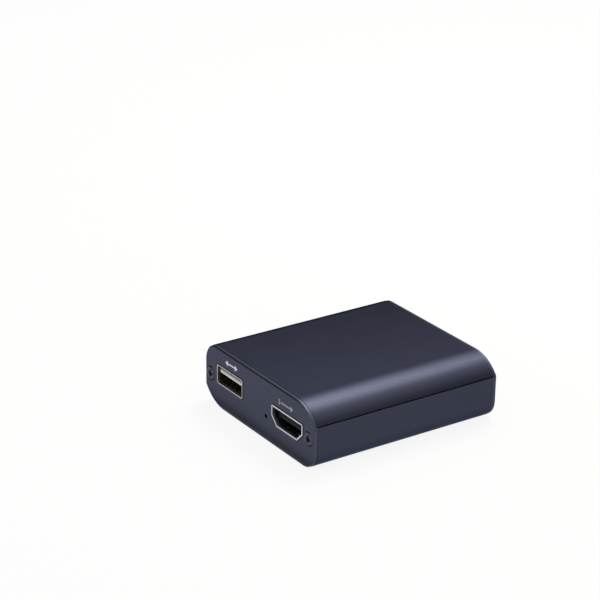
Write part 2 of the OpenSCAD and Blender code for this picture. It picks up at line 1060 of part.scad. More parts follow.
module capacitor_bases() {
    half = can_base / 2;
    cut = half - can_base_cut;
    color([0.06, 0.06, 0.07])
        for (at = can_at)
            on_board(at)
                linear_extrude(height = can_base_height)
                    polygon([
                        [-half, -half],
                        [cut, -half],
                        [half, -cut],
                        [half, cut],
                        [cut, half],
                        [-half, half]
                    ]);
}

// Two-terminal chip part along X: body between two slightly larger end caps
module chip_part(length, width, height) {
    cap = length / 5;
    slab(length - 2 * cap, width - 2 * end_cap_rise, 0, height - end_cap_rise);
    for (side = [-1, 1])
        translate([side * (length - cap) / 2, 0, 0])
            slab(cap, width, 0, height);
}

// Row of small chip parts across X: their long sides face each other
module chip_row(count, height) {
    for (i = [0 : count - 1])
        translate([(i - (count - 1) / 2) * row_pitch, 0, 0])
            rotate(90)
                chip_part(chip_length, chip_width, height);
}

// Large chip capacitor across Y
module bulk_capacitor() {
    rotate(90)
        chip_part(bulk_length, bulk_width, bulk_height);
}

module ceramic_capacitors() {
    splitter_side = splitter_size / 2 + splitter_lead + row_gap + chip_length / 2;
    capture_side = capture_size / 2 + row_gap + chip_length / 2;
    inductor_side = inductor_size / 2 + bulk_gap + bulk_width / 2;
    regulator_side = regulator_width / 2 + regulator_lead + bulk_gap + bulk_width / 2;
    color([0.65, 0.5, 0.36]) {
        on_board(splitter_at)
            translate([0, -splitter_side, 0])
                chip_row(4, capacitor_height);
        on_board(capture_at) {
            translate([capture_side, 0, 0])
                rotate(90)
                    chip_row(4, capacitor_height);
            translate([0, capture_side, 0])
                chip_row(3, capacitor_height);
        }
        for (at = inductor_at)
            on_board(at)
                translate([-inductor_side, 0, 0])
                    bulk_capacitor();
        for (at = regulator_at)
            on_board(at)
                translate([regulator_side, 0, 0])
                    bulk_capacitor();
    }
}

module chip_resistors() {
    splitter_side = splitter_size / 2 + splitter_lead + row_gap + chip_length / 2;
    memory_side = memory_width / 2 + memory_lead + row_gap + chip_length / 2;
    color([0.1, 0.1, 0.11]) {
        on_board(splitter_at) {
            translate([splitter_side, 0, 0])
                rotate(90)
                    chip_row(5, resistor_height);
            translate([0, splitter_side, 0])
                chip_row(4, resistor_height);
        }
        on_board(memory_at)
            translate([memory_side, 0, 0])
                rotate(90)
                    chip_row(3, resistor_height);
        on_board([light_x, light_lead_y + light_resistor_gap])
            chip_part(chip_length, chip_width, resistor_height);
    }
}

module guard_arrays() {
    color([0.06, 0.06, 0.07])
        for (at = guard_at)
            on_board(at)
                slab(guard_length, guard_width, 0, guard_height);
}

module status_light() {
    dome_y = light_y + light_radius;
    color([0.75, 0.9, 0.8])
        translate([light_x, dome_y, light_z])
            rotate([-90, 0, 0]) {
                intersection() {
                    sphere(light_radius);
                    translate([0, 0, -light_radius])
                        cylinder(h = light_radius + light_body / 2, r = 2 * light_radius);
                }
                cylinder(h = light_body, r = light_radius);
                translate([0, 0, light_body])
                    intersection() {
                        cylinder(h = light_flange, r = light_radius + light_rim);
                        slab(4 * light_radius, 2 * light_radius, 0, light_flange);
                    }
            }
}

module light_leads() {
    start = light_y + light_radius + light_body + light_flange;
    stop = light_lead_y;
    half = light_lead / 2;
    color([0.75, 0.75, 0.77])
        for (side = [-1, 1])
            translate([light_x + side * light_lead_pitch / 2, 0, 0]) {
                box([-half, start, light_z - half], [half, stop + half, light_z + half]);
                box([-half, stop - half, pin_end], [half, stop + half, light_z - half]);
            }
}

top_shell();
bottom_shell();
front_panel();
rear_panel();
front_screws();
rear_screws();
circuit_board();
usb_shell();
usb_insulator();
usb_contacts();
outlet_shell();
outlet_insulator();
outlet_contacts();
inlet_shell();
inlet_insulator();
inlet_contacts();
capture_chip();
splitter_chip();
splitter_leads();
memory_chip();
memory_leads();
crystals();
voltage_regulators();
regulator_leads();
inductors();
capacitor_cans();
capacitor_bases();
ceramic_capacitors();
chip_resistors();
guard_arrays();
status_light();
light_leads();
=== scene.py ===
"""Dresses the video capture box: finishes, screws, port details, board details, studio and camera.

Lengths are in metres, and the angles among a class's fields are in degrees.
"""

import json
import logging
import math
from collections.abc import Callable, Iterable, Iterator
from contextlib import contextmanager
from dataclasses import dataclass, replace
from enum import Enum

import bmesh
import bpy
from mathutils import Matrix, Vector

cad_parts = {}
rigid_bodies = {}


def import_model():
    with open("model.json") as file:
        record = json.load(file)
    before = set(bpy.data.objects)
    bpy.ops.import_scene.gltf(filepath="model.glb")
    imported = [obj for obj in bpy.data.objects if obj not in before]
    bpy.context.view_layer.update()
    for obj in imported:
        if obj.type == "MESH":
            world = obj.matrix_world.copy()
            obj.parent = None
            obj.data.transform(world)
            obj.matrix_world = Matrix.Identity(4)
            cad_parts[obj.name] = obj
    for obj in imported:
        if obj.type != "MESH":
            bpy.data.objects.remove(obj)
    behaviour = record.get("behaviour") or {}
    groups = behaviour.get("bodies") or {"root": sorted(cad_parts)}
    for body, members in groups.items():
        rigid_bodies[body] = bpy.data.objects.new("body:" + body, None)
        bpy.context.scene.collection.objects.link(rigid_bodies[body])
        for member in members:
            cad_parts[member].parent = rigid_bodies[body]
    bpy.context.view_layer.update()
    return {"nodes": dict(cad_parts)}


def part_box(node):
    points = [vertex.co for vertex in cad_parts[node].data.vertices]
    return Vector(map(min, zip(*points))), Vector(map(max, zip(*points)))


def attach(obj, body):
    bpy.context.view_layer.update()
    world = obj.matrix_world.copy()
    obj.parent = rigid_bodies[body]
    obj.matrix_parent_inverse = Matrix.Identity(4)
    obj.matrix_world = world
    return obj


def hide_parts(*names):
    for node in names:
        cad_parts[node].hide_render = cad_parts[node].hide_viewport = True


LOG = logging.getLogger("capture_box")
MM = 0.001
BODY = "root"
WELD = 1e-6
QUARTER_TURN = math.pi / 2
HALF_TURN = math.pi
FLAT_ANGLE = math.radians(0.2)
EDGE_ANGLE = math.radians(35.0)
SMOOTH_ANGLE = math.radians(40.0)
EDGE_STEPS = 2
FLAT_WEIGHT = 80

Colour = tuple[float, float, float]
Point = tuple[float, float, float]
Band = tuple[float, float]
Box = tuple[Vector, Vector]

BLACK: Colour = (0.0, 0.0, 0.0)
WHITE: Colour = (1.0, 1.0, 1.0)
NOWHERE: Point = (0.0, 0.0, 0.0)
EVEN: Point = (1.0, 1.0, 1.0)
END_ON: Point = (1.0, 0.0, 1.0)
FROM_ABOVE: Point = (1.0, 1.0, 0.0)

MIX_FACTOR, MIX_FIRST, MIX_SECOND = 0, 6, 7
MIX_COLOUR = 2


def empty_scene() -> None:
    """Removes Blender's start-up objects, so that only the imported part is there."""
    for obj in list(bpy.data.objects):
        bpy.data.objects.remove(obj)


empty_scene()
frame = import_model()
FACE = -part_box("front_panel")[0].y
MOUTH = -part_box("usb_shell")[0].y
BOARD_LOW, BOARD_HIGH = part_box("circuit_board")


class Kind(Enum):
    """What an edit-mode selection is made of."""

    VERTICES = "VERT"
    EDGES = "EDGE"
    FACES = "FACE"


class Axis(Enum):
    """A direction in the part's frame."""

    X = (1.0, 0.0, 0.0)
    Y = (0.0, 1.0, 0.0)
    Z = (0.0, 0.0, 1.0)


class Ray(Enum):
    """A kind of light ray that a surface can answer in its own way."""

    EYE = "Is Camera Ray"
    GLOSS = "Is Glossy Ray"
    CLEAR = "Is Transmission Ray"


class Detail(Enum):
    """How much finer noise a noise pattern carries."""

    NONE = 0.0
    LITTLE = 1.0
    SOME = 2.0
    MUCH = 3.0
    MOST = 4.0


class Combine(Enum):
    """How a tool's shape changes the piece that it is used on."""

    CUT = "DIFFERENCE"
    UNITE = "UNION"


class Slot(Enum):
    """A material slot of the part's record."""

    CASE_METAL = "case_metal"
    PANEL_METAL = "panel_metal"
    SCREW_METAL = "screw_metal"
    PORT_METAL = "port_metal"
    CONTACT_METAL = "contact_metal"
    LEAD_METAL = "lead_metal"
    CAN_METAL = "can_metal"
    WHITE_PLASTIC = "white_plastic"
    BLACK_PLASTIC = "black_plastic"
    CHIP_PLASTIC = "chip_plastic"
    CHIP_CERAMIC = "chip_ceramic"
    RESISTOR_CERAMIC = "resistor_ceramic"
    FERRITE = "ferrite"


def rgba(colour: Colour) -> tuple[float, float, float, float]:
    """Gives a colour its opaque alpha."""
    return (*colour, 1.0)


def shaded(colour: Colour, share: float) -> Colour:
    """A colour made darker or lighter by a share, up to full white."""
    return tuple(min(1.0, part * share) for part in colour)


def corners(points: Iterable[Vector]) -> Box:
    """Lowest and highest corner of the box round some points."""
    kept = [tuple(point) for point in points]
    return Vector(map(min, zip(*kept))), Vector(map(max, zip(*kept)))


def mouth_centre(node: str) -> Vector:
    """Finds the middle of the rim of a port's shell.

    Args:
        node: The shell's CAD node.

    Returns:
        The middle, in metres.
    """
    points = (vertex.co for vertex in frame["nodes"][node].data.vertices)
    low, high = corners(point for point in points if abs(abs(point.y) - MOUTH) < WELD)
    return (low + high) / 2


def islands(mesh: bmesh.types.BMesh) -> list[list[bmesh.types.BMFace]]:
    """Groups the faces of a mesh by the solid that they close.

    Args:
        mesh: The mesh.

    Returns:
        One list of faces for each solid.
    """
    groups = []
    left = set(mesh.faces)
    while left:
        group, edge = [], [left.pop()]
        while edge:
            face = edge.pop()
            group.append(face)
            near = {other for side in face.edges for other in side.link_faces} & left
            left -= near
            edge.extend(near)
        groups.append(group)
    return groups


class Value:
    """A shader value: arithmetic on it adds Math nodes to its shader."""

    def __init__(self, shader: "Shader", socket: bpy.types.NodeSocket) -> None:
        """Wraps one output socket of a shader."""
        self.shader = shader
        self.socket = socket

    def _math(self, operation: str, first: "Value | float", second: "Value | float") -> "Value":
        """Adds one Math node and gives its result."""
        return self.shader.node("ShaderNodeMath", {"operation": operation}, {0: first, 1: second})

    def __add__(self, other: "Value | float") -> "Value":
        """Sum."""
        return self._math("ADD", self, other)

    def __radd__(self, other: float) -> "Value":
        """Sum with a number on the left."""
        return self._math("ADD", other, self)

    def __sub__(self, other: "Value | float") -> "Value":
        """Difference."""
        return self._math("SUBTRACT", self, other)

    def __rsub__(self, other: float) -> "Value":
        """Difference from a number on the left."""
        return self._math("SUBTRACT", other, self)

    def __mul__(self, other: "Value | float") -> "Value":
        """Product."""
        return self._math("MULTIPLY", self, other)

    def __rmul__(self, other: float) -> "Value":
        """Product with a number on the left."""
        return self._math("MULTIPLY", other, self)

    def __gt__(self, other: "Value | float") -> "Value":
        """One where this value is larger, else zero."""
        return self._math("GREATER_THAN", self, other)

    def __lt__(self, other: "Value | float") -> "Value":
        """One where this value is smaller, else zero."""
        return self._math("LESS_THAN", self, other)

    def __abs__(self) -> "Value":
        """Absolute value."""
        return self._math("ABSOLUTE", self, 0.0)

    def largest(self, other: "Value | float") -> "Value":
        """The larger of two values."""
        return self._math("MAXIMUM", self, other)

    def smallest(self, other: "Value | float") -> "Value":
        """The smaller of two values."""
        return self._math("MINIMUM", self, other)

    def wrapped(self, period: float) -> "Value":
        """The value folded into one period, from zero up."""
        return self._math("FLOORED_MODULO", self, period)

    def swing(self, share: float) -> "Value":
        """A pattern's departure from its middle, one half, times a share."""
        return share * (self - 0.5)

    def ramp(self, low: float, high: float) -> "Value":
        """A smooth step from zero at low to one at high.

        Args:
            low: Where the step starts.
            high: Where the step ends.

        Returns:
            The step's height.
        """
        settings = {"interpolation_type": "SMOOTHSTEP"}
        inputs = {"Value": self, "From Min": low, "From Max": high}
        return self.shader.node("ShaderNodeMapRange", settings, inputs)


class Shader:
    """The nodes of a material or of the world, under construction."""

    def __init__(self, owner: bpy.types.Material | bpy.types.World) -> None:
        """Starts with no nodes.

        Args:
            owner: The material or world that the nodes belong to.
        """
        owner.use_nodes = True
        self.owner = owner
        self.tree = owner.node_tree
        self.tree.nodes.clear()
        self._place: Value | None = None

    @classmethod
    def named(cls, name: str) -> "Shader":
        """Starts a new material of that name."""
        return cls(bpy.data.materials.new(name))

    def node(
        self,
        kind: str,
        settings: dict[str, object] | None = None,
        inputs: dict[int | str, object] | None = None,
        output: int | str = 0,
    ) -> Value:
        """Adds any node.

        Args:
            kind: The node's type.
            settings: Its settings, set before its inputs.
            inputs: Values or links for its sockets.
            output: The output that is wanted.

        Returns:
            That output.
        """
        made = self.tree.nodes.new(kind)
        for key, setting in (settings or {}).items():
            setattr(made, key, setting)
        for key, given in (inputs or {}).items():
            if isinstance(given, Value):
                self.tree.links.new(given.socket, made.inputs[key])
            else:
                made.inputs[key].default_value = given
        return Value(self, made.outputs[output])

    def place(self) -> Value:
        """Reads the point's place, once for the whole material.

        Returns:
            The place in the part's frame, in metres.
        """
        if self._place is None:
            self._place = self.node("ShaderNodeTexCoord", output="Object")
        return self._place

    def mapped(self, stretch: Point = EVEN, shift: Point = NOWHERE) -> Value:
        """The point's place, stretched along the three axes and then moved."""
        inputs = {"Vector": self.place(), "Location": shift, "Scale": stretch}
        return self.node("ShaderNodeMapping", None, inputs)

    def along(self, axis: Axis) -> Value:
        """The point's coordinate along one axis, in metres."""
        return self.node("ShaderNodeSeparateXYZ", None, {0: self.place()}, axis.name)

    def ray(self, ray: Ray) -> Value:
        """One for rays of that kind, else zero."""
        return self.node("ShaderNodeLightPath", output=ray.value)

    def noise(self, grain: float, stretch: Point = EVEN, detail: Detail = Detail.SOME) -> Value:
        """Noise about one half, its grain a size in metres; a small stretch draws the grain out."""
        inputs = {"Vector": self.mapped(stretch), "Scale": 1.0 / grain, "Detail": detail.value}
        return self.node("ShaderNodeTexNoise", None, inputs)

    def cells(self, size: float, stretch: Point = EVEN) -> Value:
        """Distance from the middles of scattered cells, in cells; a stretch of zero makes them columns."""
        inputs = {"Vector": self.mapped(stretch), "Scale": 1.0 / size}
        return self.node("ShaderNodeTexVoronoi", None, inputs)

    def mix(self, factor: Value | float, first: Value | Colour, second: Value | Colour) -> Value:
        """Mixes two colours.

        Args:
            factor: Share of the second colour.
            first: The first colour.
            second: The second colour.

        Returns:
            The mixed colour.
        """
        first = first if isinstance(first, Value) else rgba(first)
        second = second if isinstance(second, Value) else rgba(second)
        inputs = {MIX_FACTOR: factor, MIX_FIRST: first, MIX_SECOND: second}
        return self.node("ShaderNodeMix", {"data_type": "RGBA"}, inputs, MIX_COLOUR)

    def bump(self, height: Value, depth: float, strength: float) -> Value:
        """The normal of a height pattern, one unit of which is a depth in metres."""
        inputs = {"Height": height, "Distance": depth, "Strength": strength}
        return self.node("ShaderNodeBump", None, inputs)

    def surface(self, **sockets: object) -> bpy.types.Material:
        """Ends the material with a Principled surface.

        Args:
            **sockets: Values or links by socket name, with _ for a space.

        Returns:
            The finished material.
        """
        inputs = {key.replace("_", " "): given for key, given in sockets.items()}
        self.end(self.node("ShaderNodeBsdfPrincipled", None, inputs))
        return self.owner

    def end(self, shade: Value) -> None:
        """Links a shade to the output.

        Args:
            shade: The shade of the surface or of the surroundings.
        """
        is_world = isinstance(self.owner, bpy.types.World)
        out = self.tree.nodes.new("ShaderNodeOutputWorld" if is_world else "ShaderNodeOutputMaterial")
        self.tree.links.new(shade.socket, out.inputs["Surface"])


@dataclass(frozen=True)
class Finish:
    """A finish that can be given to any piece."""

    name: str
    colour: Colour

    def material(self) -> bpy.types.Material:
        """The finish's material, made the first time that it is asked for."""
        made = bpy.data.materials.get(self.name)
        return made if made is not None else self.paint(Shader.named(self.name))

    def paint(self, shader: Shader) -> bpy.types.Material:
        """Builds the material; each kind of finish has its own way."""
        raise NotImplementedError


@dataclass(frozen=True)
class AnodisedMetal(Finish):
    """Dyed, blasted and anodised aluminium with faint lines along its extrusion."""

    edge_tint: Colour
    roughness: float = 0.4
    grain: float = 0.12 * MM
    streak: float = 0.35 * MM
    streak_depth: float = 0.5
    drawn_out: Point = (1.0, 0.012, 1.0)
    fleck: float = 0.34 * MM
    cloud: float = 14 * MM
    wear: float = 2.2 * MM
    worn: Band = (0.62, 0.8)
    cloud_share: float = 0.14
    streak_share: float = 0.12
    grain_share: float = 0.1
    fleck_share: float = 0.32
    full_dye: float = 1.08
    grain_height: float = 0.5
    fleck_height: float = 0.8
    relief: float = 0.004 * MM
    relief_strength: float = 0.5
    streak_rough: float = 0.06
    grain_rough: float = 0.05
    worn_rough: float = 0.05

    def paint(self, shader: Shader) -> bpy.types.Material:
        """Blasted grain with coarser flecks, drawn-out lines, and a slow drift of the dye.

        Args:
            shader: The new material's nodes.

        Returns:
            The finished material.
        """
        grain = shader.noise(self.grain, detail=Detail.LITTLE)
        flecks = shader.noise(self.fleck, detail=Detail.LITTLE)
        lines = shader.noise(self.streak, self.drawn_out, detail=Detail.MUCH)
        clouds = shader.noise(self.cloud)
        worn = shader.noise(self.wear, detail=Detail.MOST).ramp(*self.worn)
        dye = 1.0 - self.cloud_share + self.cloud_share * clouds
        dye = dye + lines.swing(self.streak_share * self.streak_depth)
        dye = dye + grain.swing(self.grain_share) + flecks.swing(self.fleck_share)
        # a subclass may add painted shade to the dye here
        shade = self.dye_with_painted_shade(shader, dye.smallest(1.0))
        rough = self.roughness + lines.swing(self.streak_rough) + grain.swing(self.grain_rough)
        height = grain * self.grain_height + lines * self.streak_depth + flecks * self.fleck_height
        return shader.surface(
            Base_Color=shader.mix(shade, BLACK, shaded(self.colour, self.full_dye)),
            Metallic=1.0,
            Specular_Tint=rgba(self.edge_tint),
            Roughness=rough + self.worn_rough * worn,
            Normal=shader.bump(height, self.relief, self.relief_strength),
        )

    def dye_with_painted_shade(self, shader: Shader, shade: Value) -> Value:
        """The shade of the dye with any painted shade added: none on a plain part."""
        return shade


@dataclass(frozen=True)
class PanelMetal(AnodisedMetal):
    """Anodising of an end panel, with painted shade on the wall of the drilled pinhole."""

    hole_reach: float = 0.9 * MM
    hole_skin: float = 0.08 * MM
    # share of the dye left on the pinhole's wall, as painted shade
    pinhole_shade_share: float = 0.12

    def dye_with_painted_shade(self, shader: Shader, shade: Value) -> Value:
        """Paints shade on the wall of the hole in front of the status lamp.

        Args:
            shader: The material's nodes.
            shade: The shade of the dye elsewhere.

        Returns:
            The shade, dim in the hole.
        """
        low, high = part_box("status_light")
        middle = (low + high) / 2
        offset = shader.mapped(END_ON, (-middle.x, 0.0, -middle.z))
        away = shader.node("ShaderNodeVectorMath", {"operation": "LENGTH"}, {0: offset}, "Value")
        # painted shade on the pinhole's wall
        shaded_hole_wall = (away < self.hole_reach) * (shader.along(Axis.Y) > self.hole_skin - FACE)
        return shade * (1.0 - (1.0 - self.pinhole_shade_share) * shaded_hole_wall)


@dataclass(frozen=True)
class PlatedMetal(Finish):
    """Plated or bare sheet metal with fine scratches and a cloudy tarnish."""

    tarnish: Colour
    roughness: float
    cloud: float
    tarnished: float = 0.3
    brush: Point = (1.0, 1.0, 0.08)
    clouded: Band = (0.45, 0.75)
    scratch: float = 0.06 * MM
    scratch_depth: float = 0.002 * MM
    scratch_strength: float = 0.4
    scratch_rough: float = 0.12
    cloud_rough: float = 0.16

    def paint(self, shader: Shader) -> bpy.types.Material:
        """Cloudy tarnish over fine scratches.

        Args:
            shader: The new material's nodes.

        Returns:
            The finished material.
        """
        clouds = shader.noise(self.cloud, detail=Detail.MOST).ramp(*self.clouded)
        scratch = shader.noise(self.scratch, self.brush)
        tint = shader.mix(clouds * self.tarnished, self.colour, self.tarnish)
        rough = self.roughness + self.cloud_rough * self.tarnished * clouds
        # port plating adds painted shade in the mouth here
        tint, rough = self.dulled_and_shaded(shader, tint, rough + scratch.swing(self.scratch_rough))
        return shader.surface(
            Base_Color=tint,
            Metallic=1.0,
            Roughness=rough,
            Normal=shader.bump(scratch, self.scratch_depth, self.scratch_strength),
        )

    def dulled_and_shaded(self, shader: Shader, tint: Value, rough: Value) -> tuple[Value, Value]:
        """Colour and roughness with any painted shade: the same all over on a plain plating."""
        return tint, rough


@dataclass(frozen=True, kw_only=True)
class PortPlating(PlatedMetal):
    """Plating of a port's shell, bright outside and on the rim; rougher in the mouth, with painted shade
    there.
    """

    node: str
    rim: float = 0.12 * MM
    reach: float = 1.1 * MM
    # share of the tarnish colour left in the mouth: painted shade
    inside: float = 0.12
    dull_rough: float = 0.2

    def dulled_and_shaded(self, shader: Shader, tint: Value, rough: Value) -> tuple[Value, Value]:
        """Paints shade on the faces that look at the port's axis, and roughens them, from just behind the
        rim inwards.

        Args:
            shader: The material's nodes.
            tint: The colour of the bright plating.
            rough: The roughness of the bright plating.

        Returns:
            Colour and roughness of the whole shell.
        """
        centre = mouth_centre(self.node)
        depth = MOUTH - abs(shader.along(Axis.Y))
        offset = shader.mapped(END_ON, (-centre.x, 0.0, -centre.z))
        normal = shader.node("ShaderNodeNewGeometry", output="Normal")
        settings = {"operation": "DOT_PRODUCT"}
        outward = shader.node("ShaderNodeVectorMath", settings, {0: normal, 1: offset}, "Value")
        # mask of the mouth's painted shade and extra roughness
        dull_and_shade = depth.ramp(self.rim, self.reach) * (outward < 0.0)
        return shader.mix(dull_and_shade, tint, shaded(self.tarnish, self.inside)), rough + self.dull_rough * dull_and_shade


@dataclass(frozen=True)
class MouldedPlastic(Finish):
    """Moulded plastic with a spark-eroded skin and a slight flow pattern."""

    roughness: float
    texture: float = 0.09 * MM
    contrast: float = 0.12
    depth: float = 0.006 * MM
    gloss: float = 0.4
    flow: float = 1.8 * MM
    flow_way: Point = (1.0, 0.5, 1.0)
    flow_band: Band = (0.3, 0.7)
    pit_strength: float = 0.6
    pit_rough: float = 0.14
    flow_rough: float = 0.06

    def paint(self, shader: Shader) -> bpy.types.Material:
        """Fine pitted skin over a slow flow of lighter and darker resin.

        Args:
            shader: The new material's nodes.

        Returns:
            The finished material.
        """
        flow = shader.noise(self.flow, self.flow_way, detail=Detail.MUCH)
        pits = shader.noise(self.texture, detail=Detail.MUCH)
        light = shaded(self.colour, 1 + self.contrast)
        dark = shaded(self.colour, 1 - self.contrast)
        return shader.surface(
            Base_Color=self.shade(shader, shader.mix(flow.ramp(*self.flow_band), dark, light)),
            Roughness=self.roughness + pits.swing(self.pit_rough) + flow.swing(self.flow_rough),
            Specular_IOR_Level=self.gloss,
            Normal=shader.bump(pits, self.depth, self.pit_strength),
        )

    def shade(self, shader: Shader, body: Value) -> Value:
        """The resin's colour with any painted shade: none on a plain moulding."""
        return body


@dataclass(frozen=True, kw_only=True)
class TonguePlastic(MouldedPlastic):
    """Moulded plastic of a port's tongue, pale on the lip and darker up to where it meets the shell:
    painted shade from the shell's top wall.
    """

    lip: float
    root: float
    # share of painted shade at the root, under the shell's top wall
    top_shade_share: float = 0.95
    top_shade_tone: float = 0.2

    def shade(self, shader: Shader, body: Value) -> Value:
        """Painted shade, from none at the lip to most at the root."""
        painted_top_shade = shader.along(Axis.Z).ramp(self.lip, self.root) * self.top_shade_share
        return shader.mix(painted_top_shade, body, shaded(self.colour, self.top_shade_tone))


@dataclass(frozen=True)
class Ceramic(Finish):
    """Fired ceramic or pressed ferrite with a speckled, slightly porous skin."""

    speck: Colour
    roughness: float
    size: float = 0.12 * MM
    share: float = 0.35
    speck_band: Band = (0.2, 0.5)
    speck_depth: float = 0.006 * MM
    speck_strength: float = 0.4
    cloud: float = 0.7 * MM
    clouded: Band = (0.3, 0.7)
    cloud_shade: float = 0.85
    cloud_rough: float = 0.15

    def paint(self, shader: Shader) -> bpy.types.Material:
        """Specks in a cloudy body.

        Args:
            shader: The new material's nodes.

        Returns:
            The finished material.
        """
        specks = 1.0 - shader.cells(self.size).ramp(*self.speck_band)
        clouds = shader.noise(self.cloud, detail=Detail.MUCH)
        body = shader.mix(clouds.ramp(*self.clouded), shaded(self.colour, self.cloud_shade), self.colour)
        return shader.surface(
            Base_Color=shader.mix(specks * self.share, body, self.speck),
            Roughness=self.roughness + clouds.swing(self.cloud_rough),
            Normal=shader.bump(specks, self.speck_depth, self.speck_strength),
        )


@dataclass(frozen=True)
class BoardLaminate(Finish):
    """Green solder mask over copper lines, with bare laminate on the edges."""

    copper: Colour = (0.05, 0.24, 0.1)
    # near-black colour of the via holes: painted shade in holes that the mesh does not have
    hole: Colour = (0.01, 0.02, 0.012)
    edge: Colour = (0.42, 0.38, 0.2)
    pitch: float = 1.27 * MM
    width: float = 0.3 * MM
    patch: float = 7 * MM
    patch_share: float = 0.5
    bundle: float = 2.4 * MM
    bundle_draw: float = 0.35
    bundle_share: float = 0.48
    hole_pitch: float = 3.1 * MM
    hole_share: float = 0.09
    ring_share: float = 0.17
    skin: float = 0.04 * MM
    weave: float = 0.5 * MM
    weave_shade: float = 0.8
    weave_height: float = 0.15
    weave_rough: float = 0.1
    bare_rough: float = 0.62
    mask_smooth: float = 0.3
    relief: float = 0.03 * MM
    relief_strength: float = 0.7

    def paint(self, shader: Shader) -> bpy.types.Material:
        """Copper lines and through holes under the mask, the holes painted dark as shade, and woven glass
        on the edges.

        Args:
            shader: The new material's nodes.

        Returns:
            The finished material.
        """
        height = shader.along(Axis.Z)
        lines = self.lines(shader)
        spots = shader.cells(self.hole_pitch, FROM_ABOVE)
        hole = spots < self.hole_share
        ring = (spots < self.ring_share) * (1.0 - hole)
        raised = lines.largest(ring)
        weave = shader.noise(self.weave, detail=Detail.LITTLE)
        mask = shader.mix(raised, self.colour, self.copper)
        # painted shade in the via holes
        mask = shader.mix(hole, mask, self.hole)
        skin = (height > BOARD_HIGH.z - self.skin) + (height < BOARD_LOW.z + self.skin)
        skin = skin.smallest(1.0)
        bare = shader.mix(weave, shaded(self.edge, self.weave_shade), self.edge)
        relief = raised - hole + weave * self.weave_height
        return shader.surface(
            Base_Color=shader.mix(skin, bare, mask),
            Roughness=self.bare_rough - self.mask_smooth * skin + weave.swing(self.weave_rough),
            Normal=shader.bump(relief, self.relief, self.relief_strength),
        )

    def lines(self, shader: Shader) -> Value:
        """Lays lines on a routing grid that change direction from patch to patch.

        Args:
            shader: The material's nodes.

        Returns:
            One on a line, else zero.
        """
        runs = []
        for axis, draw in ((Axis.X, (1.0, self.bundle_draw, 0.0)), (Axis.Y, (self.bundle_draw, 1.0, 0.0))):
            bundle = shader.noise(self.bundle, draw, detail=Detail.NONE) > self.bundle_share
            across = abs(shader.along(axis).wrapped(self.pitch) - self.pitch / 2)
            runs.append((across < self.width / 2) * bundle)
        patch = shader.noise(self.patch, FROM_ABOVE, Detail.NONE) > self.patch_share
        return patch * runs[0] + (1.0 - patch) * runs[1]


@dataclass(frozen=True)
class LampEpoxy(Finish):
    """Cloudy cast epoxy of the status lamp."""

    streak: float = 0.8 * MM
    streak_way: Point = (1.0, 0.3, 1.0)
    streak_band: Band = (0.35, 0.65)
    streak_shade: float = 0.88
    streak_depth: float = 0.004 * MM
    streak_strength: float = 0.3
    roughness: float = 0.18
    streak_rough: float = 0.1
    clearness: float = 0.35
    refraction: float = 1.53

    def paint(self, shader: Shader) -> bpy.types.Material:
        """Milky casting with a few drawn-out streaks.

        Args:
            shader: The new material's nodes.

        Returns:
            The finished material.
        """
        streaks = shader.noise(self.streak, self.streak_way, detail=Detail.MUCH)
        dark = shaded(self.colour, self.streak_shade)
        return shader.surface(
            Base_Color=shader.mix(streaks.ramp(*self.streak_band), self.colour, dark),
            Roughness=self.roughness + self.streak_rough * streaks,
            Transmission_Weight=self.clearness,
            IOR=self.refraction,
            Normal=shader.bump(streaks, self.streak_depth, self.streak_strength),
        )


@dataclass(frozen=True)
class PrintInk(Finish):
    """Screen-printed ink with the cloth's faint marks."""

    cover: float = 0.25 * MM
    cover_band: Band = (0.25, 0.6)
    thin_shade: float = 0.8
    cloth: float = 0.07 * MM
    cloth_depth: float = 0.003 * MM
    cloth_strength: float = 0.4
    roughness: float = 0.55
    cloth_rough: float = 0.2

    def paint(self, shader: Shader) -> bpy.types.Material:
        """Uneven cover with a fine woven trace.

        Args:
            shader: The new material's nodes.

        Returns:
            The finished material.
        """
        cover = shader.noise(self.cover, detail=Detail.MUCH).ramp(*self.cover_band)
        cloth = shader.noise(self.cloth, detail=Detail.NONE)
        return shader.surface(
            Base_Color=shader.mix(cover, shaded(self.colour, self.thin_shade), self.colour),
            Roughness=self.roughness + cloth.swing(self.cloth_rough),
            Normal=shader.bump(cloth, self.cloth_depth, self.cloth_strength),
        )


DATA_HEIGHT = mouth_centre("usb_shell").z
# where the tongue's painted shade starts and where it is fullest
TONGUE_LIP = DATA_HEIGHT + 0.85 * MM
TONGUE_ROOT = DATA_HEIGHT + 1.95 * MM

CASE_METAL = AnodisedMetal("case_metal_anodised", (0.0455, 0.0492, 0.0755), edge_tint=(0.48, 0.495, 0.6))
PANEL_METAL = PanelMetal(
    "panel_metal_anodised", (0.066, 0.0705, 0.106), edge_tint=(0.685, 0.7, 0.75),
    roughness=0.46, grain=0.1 * MM, streak=0.3 * MM, streak_depth=0.15,
)
SCREW_METAL = PlatedMetal(
    "screw_black_oxide", (0.07, 0.075, 0.102), tarnish=(0.042, 0.045, 0.06),
    roughness=0.38, cloud=0.6 * MM, tarnished=0.6,
)
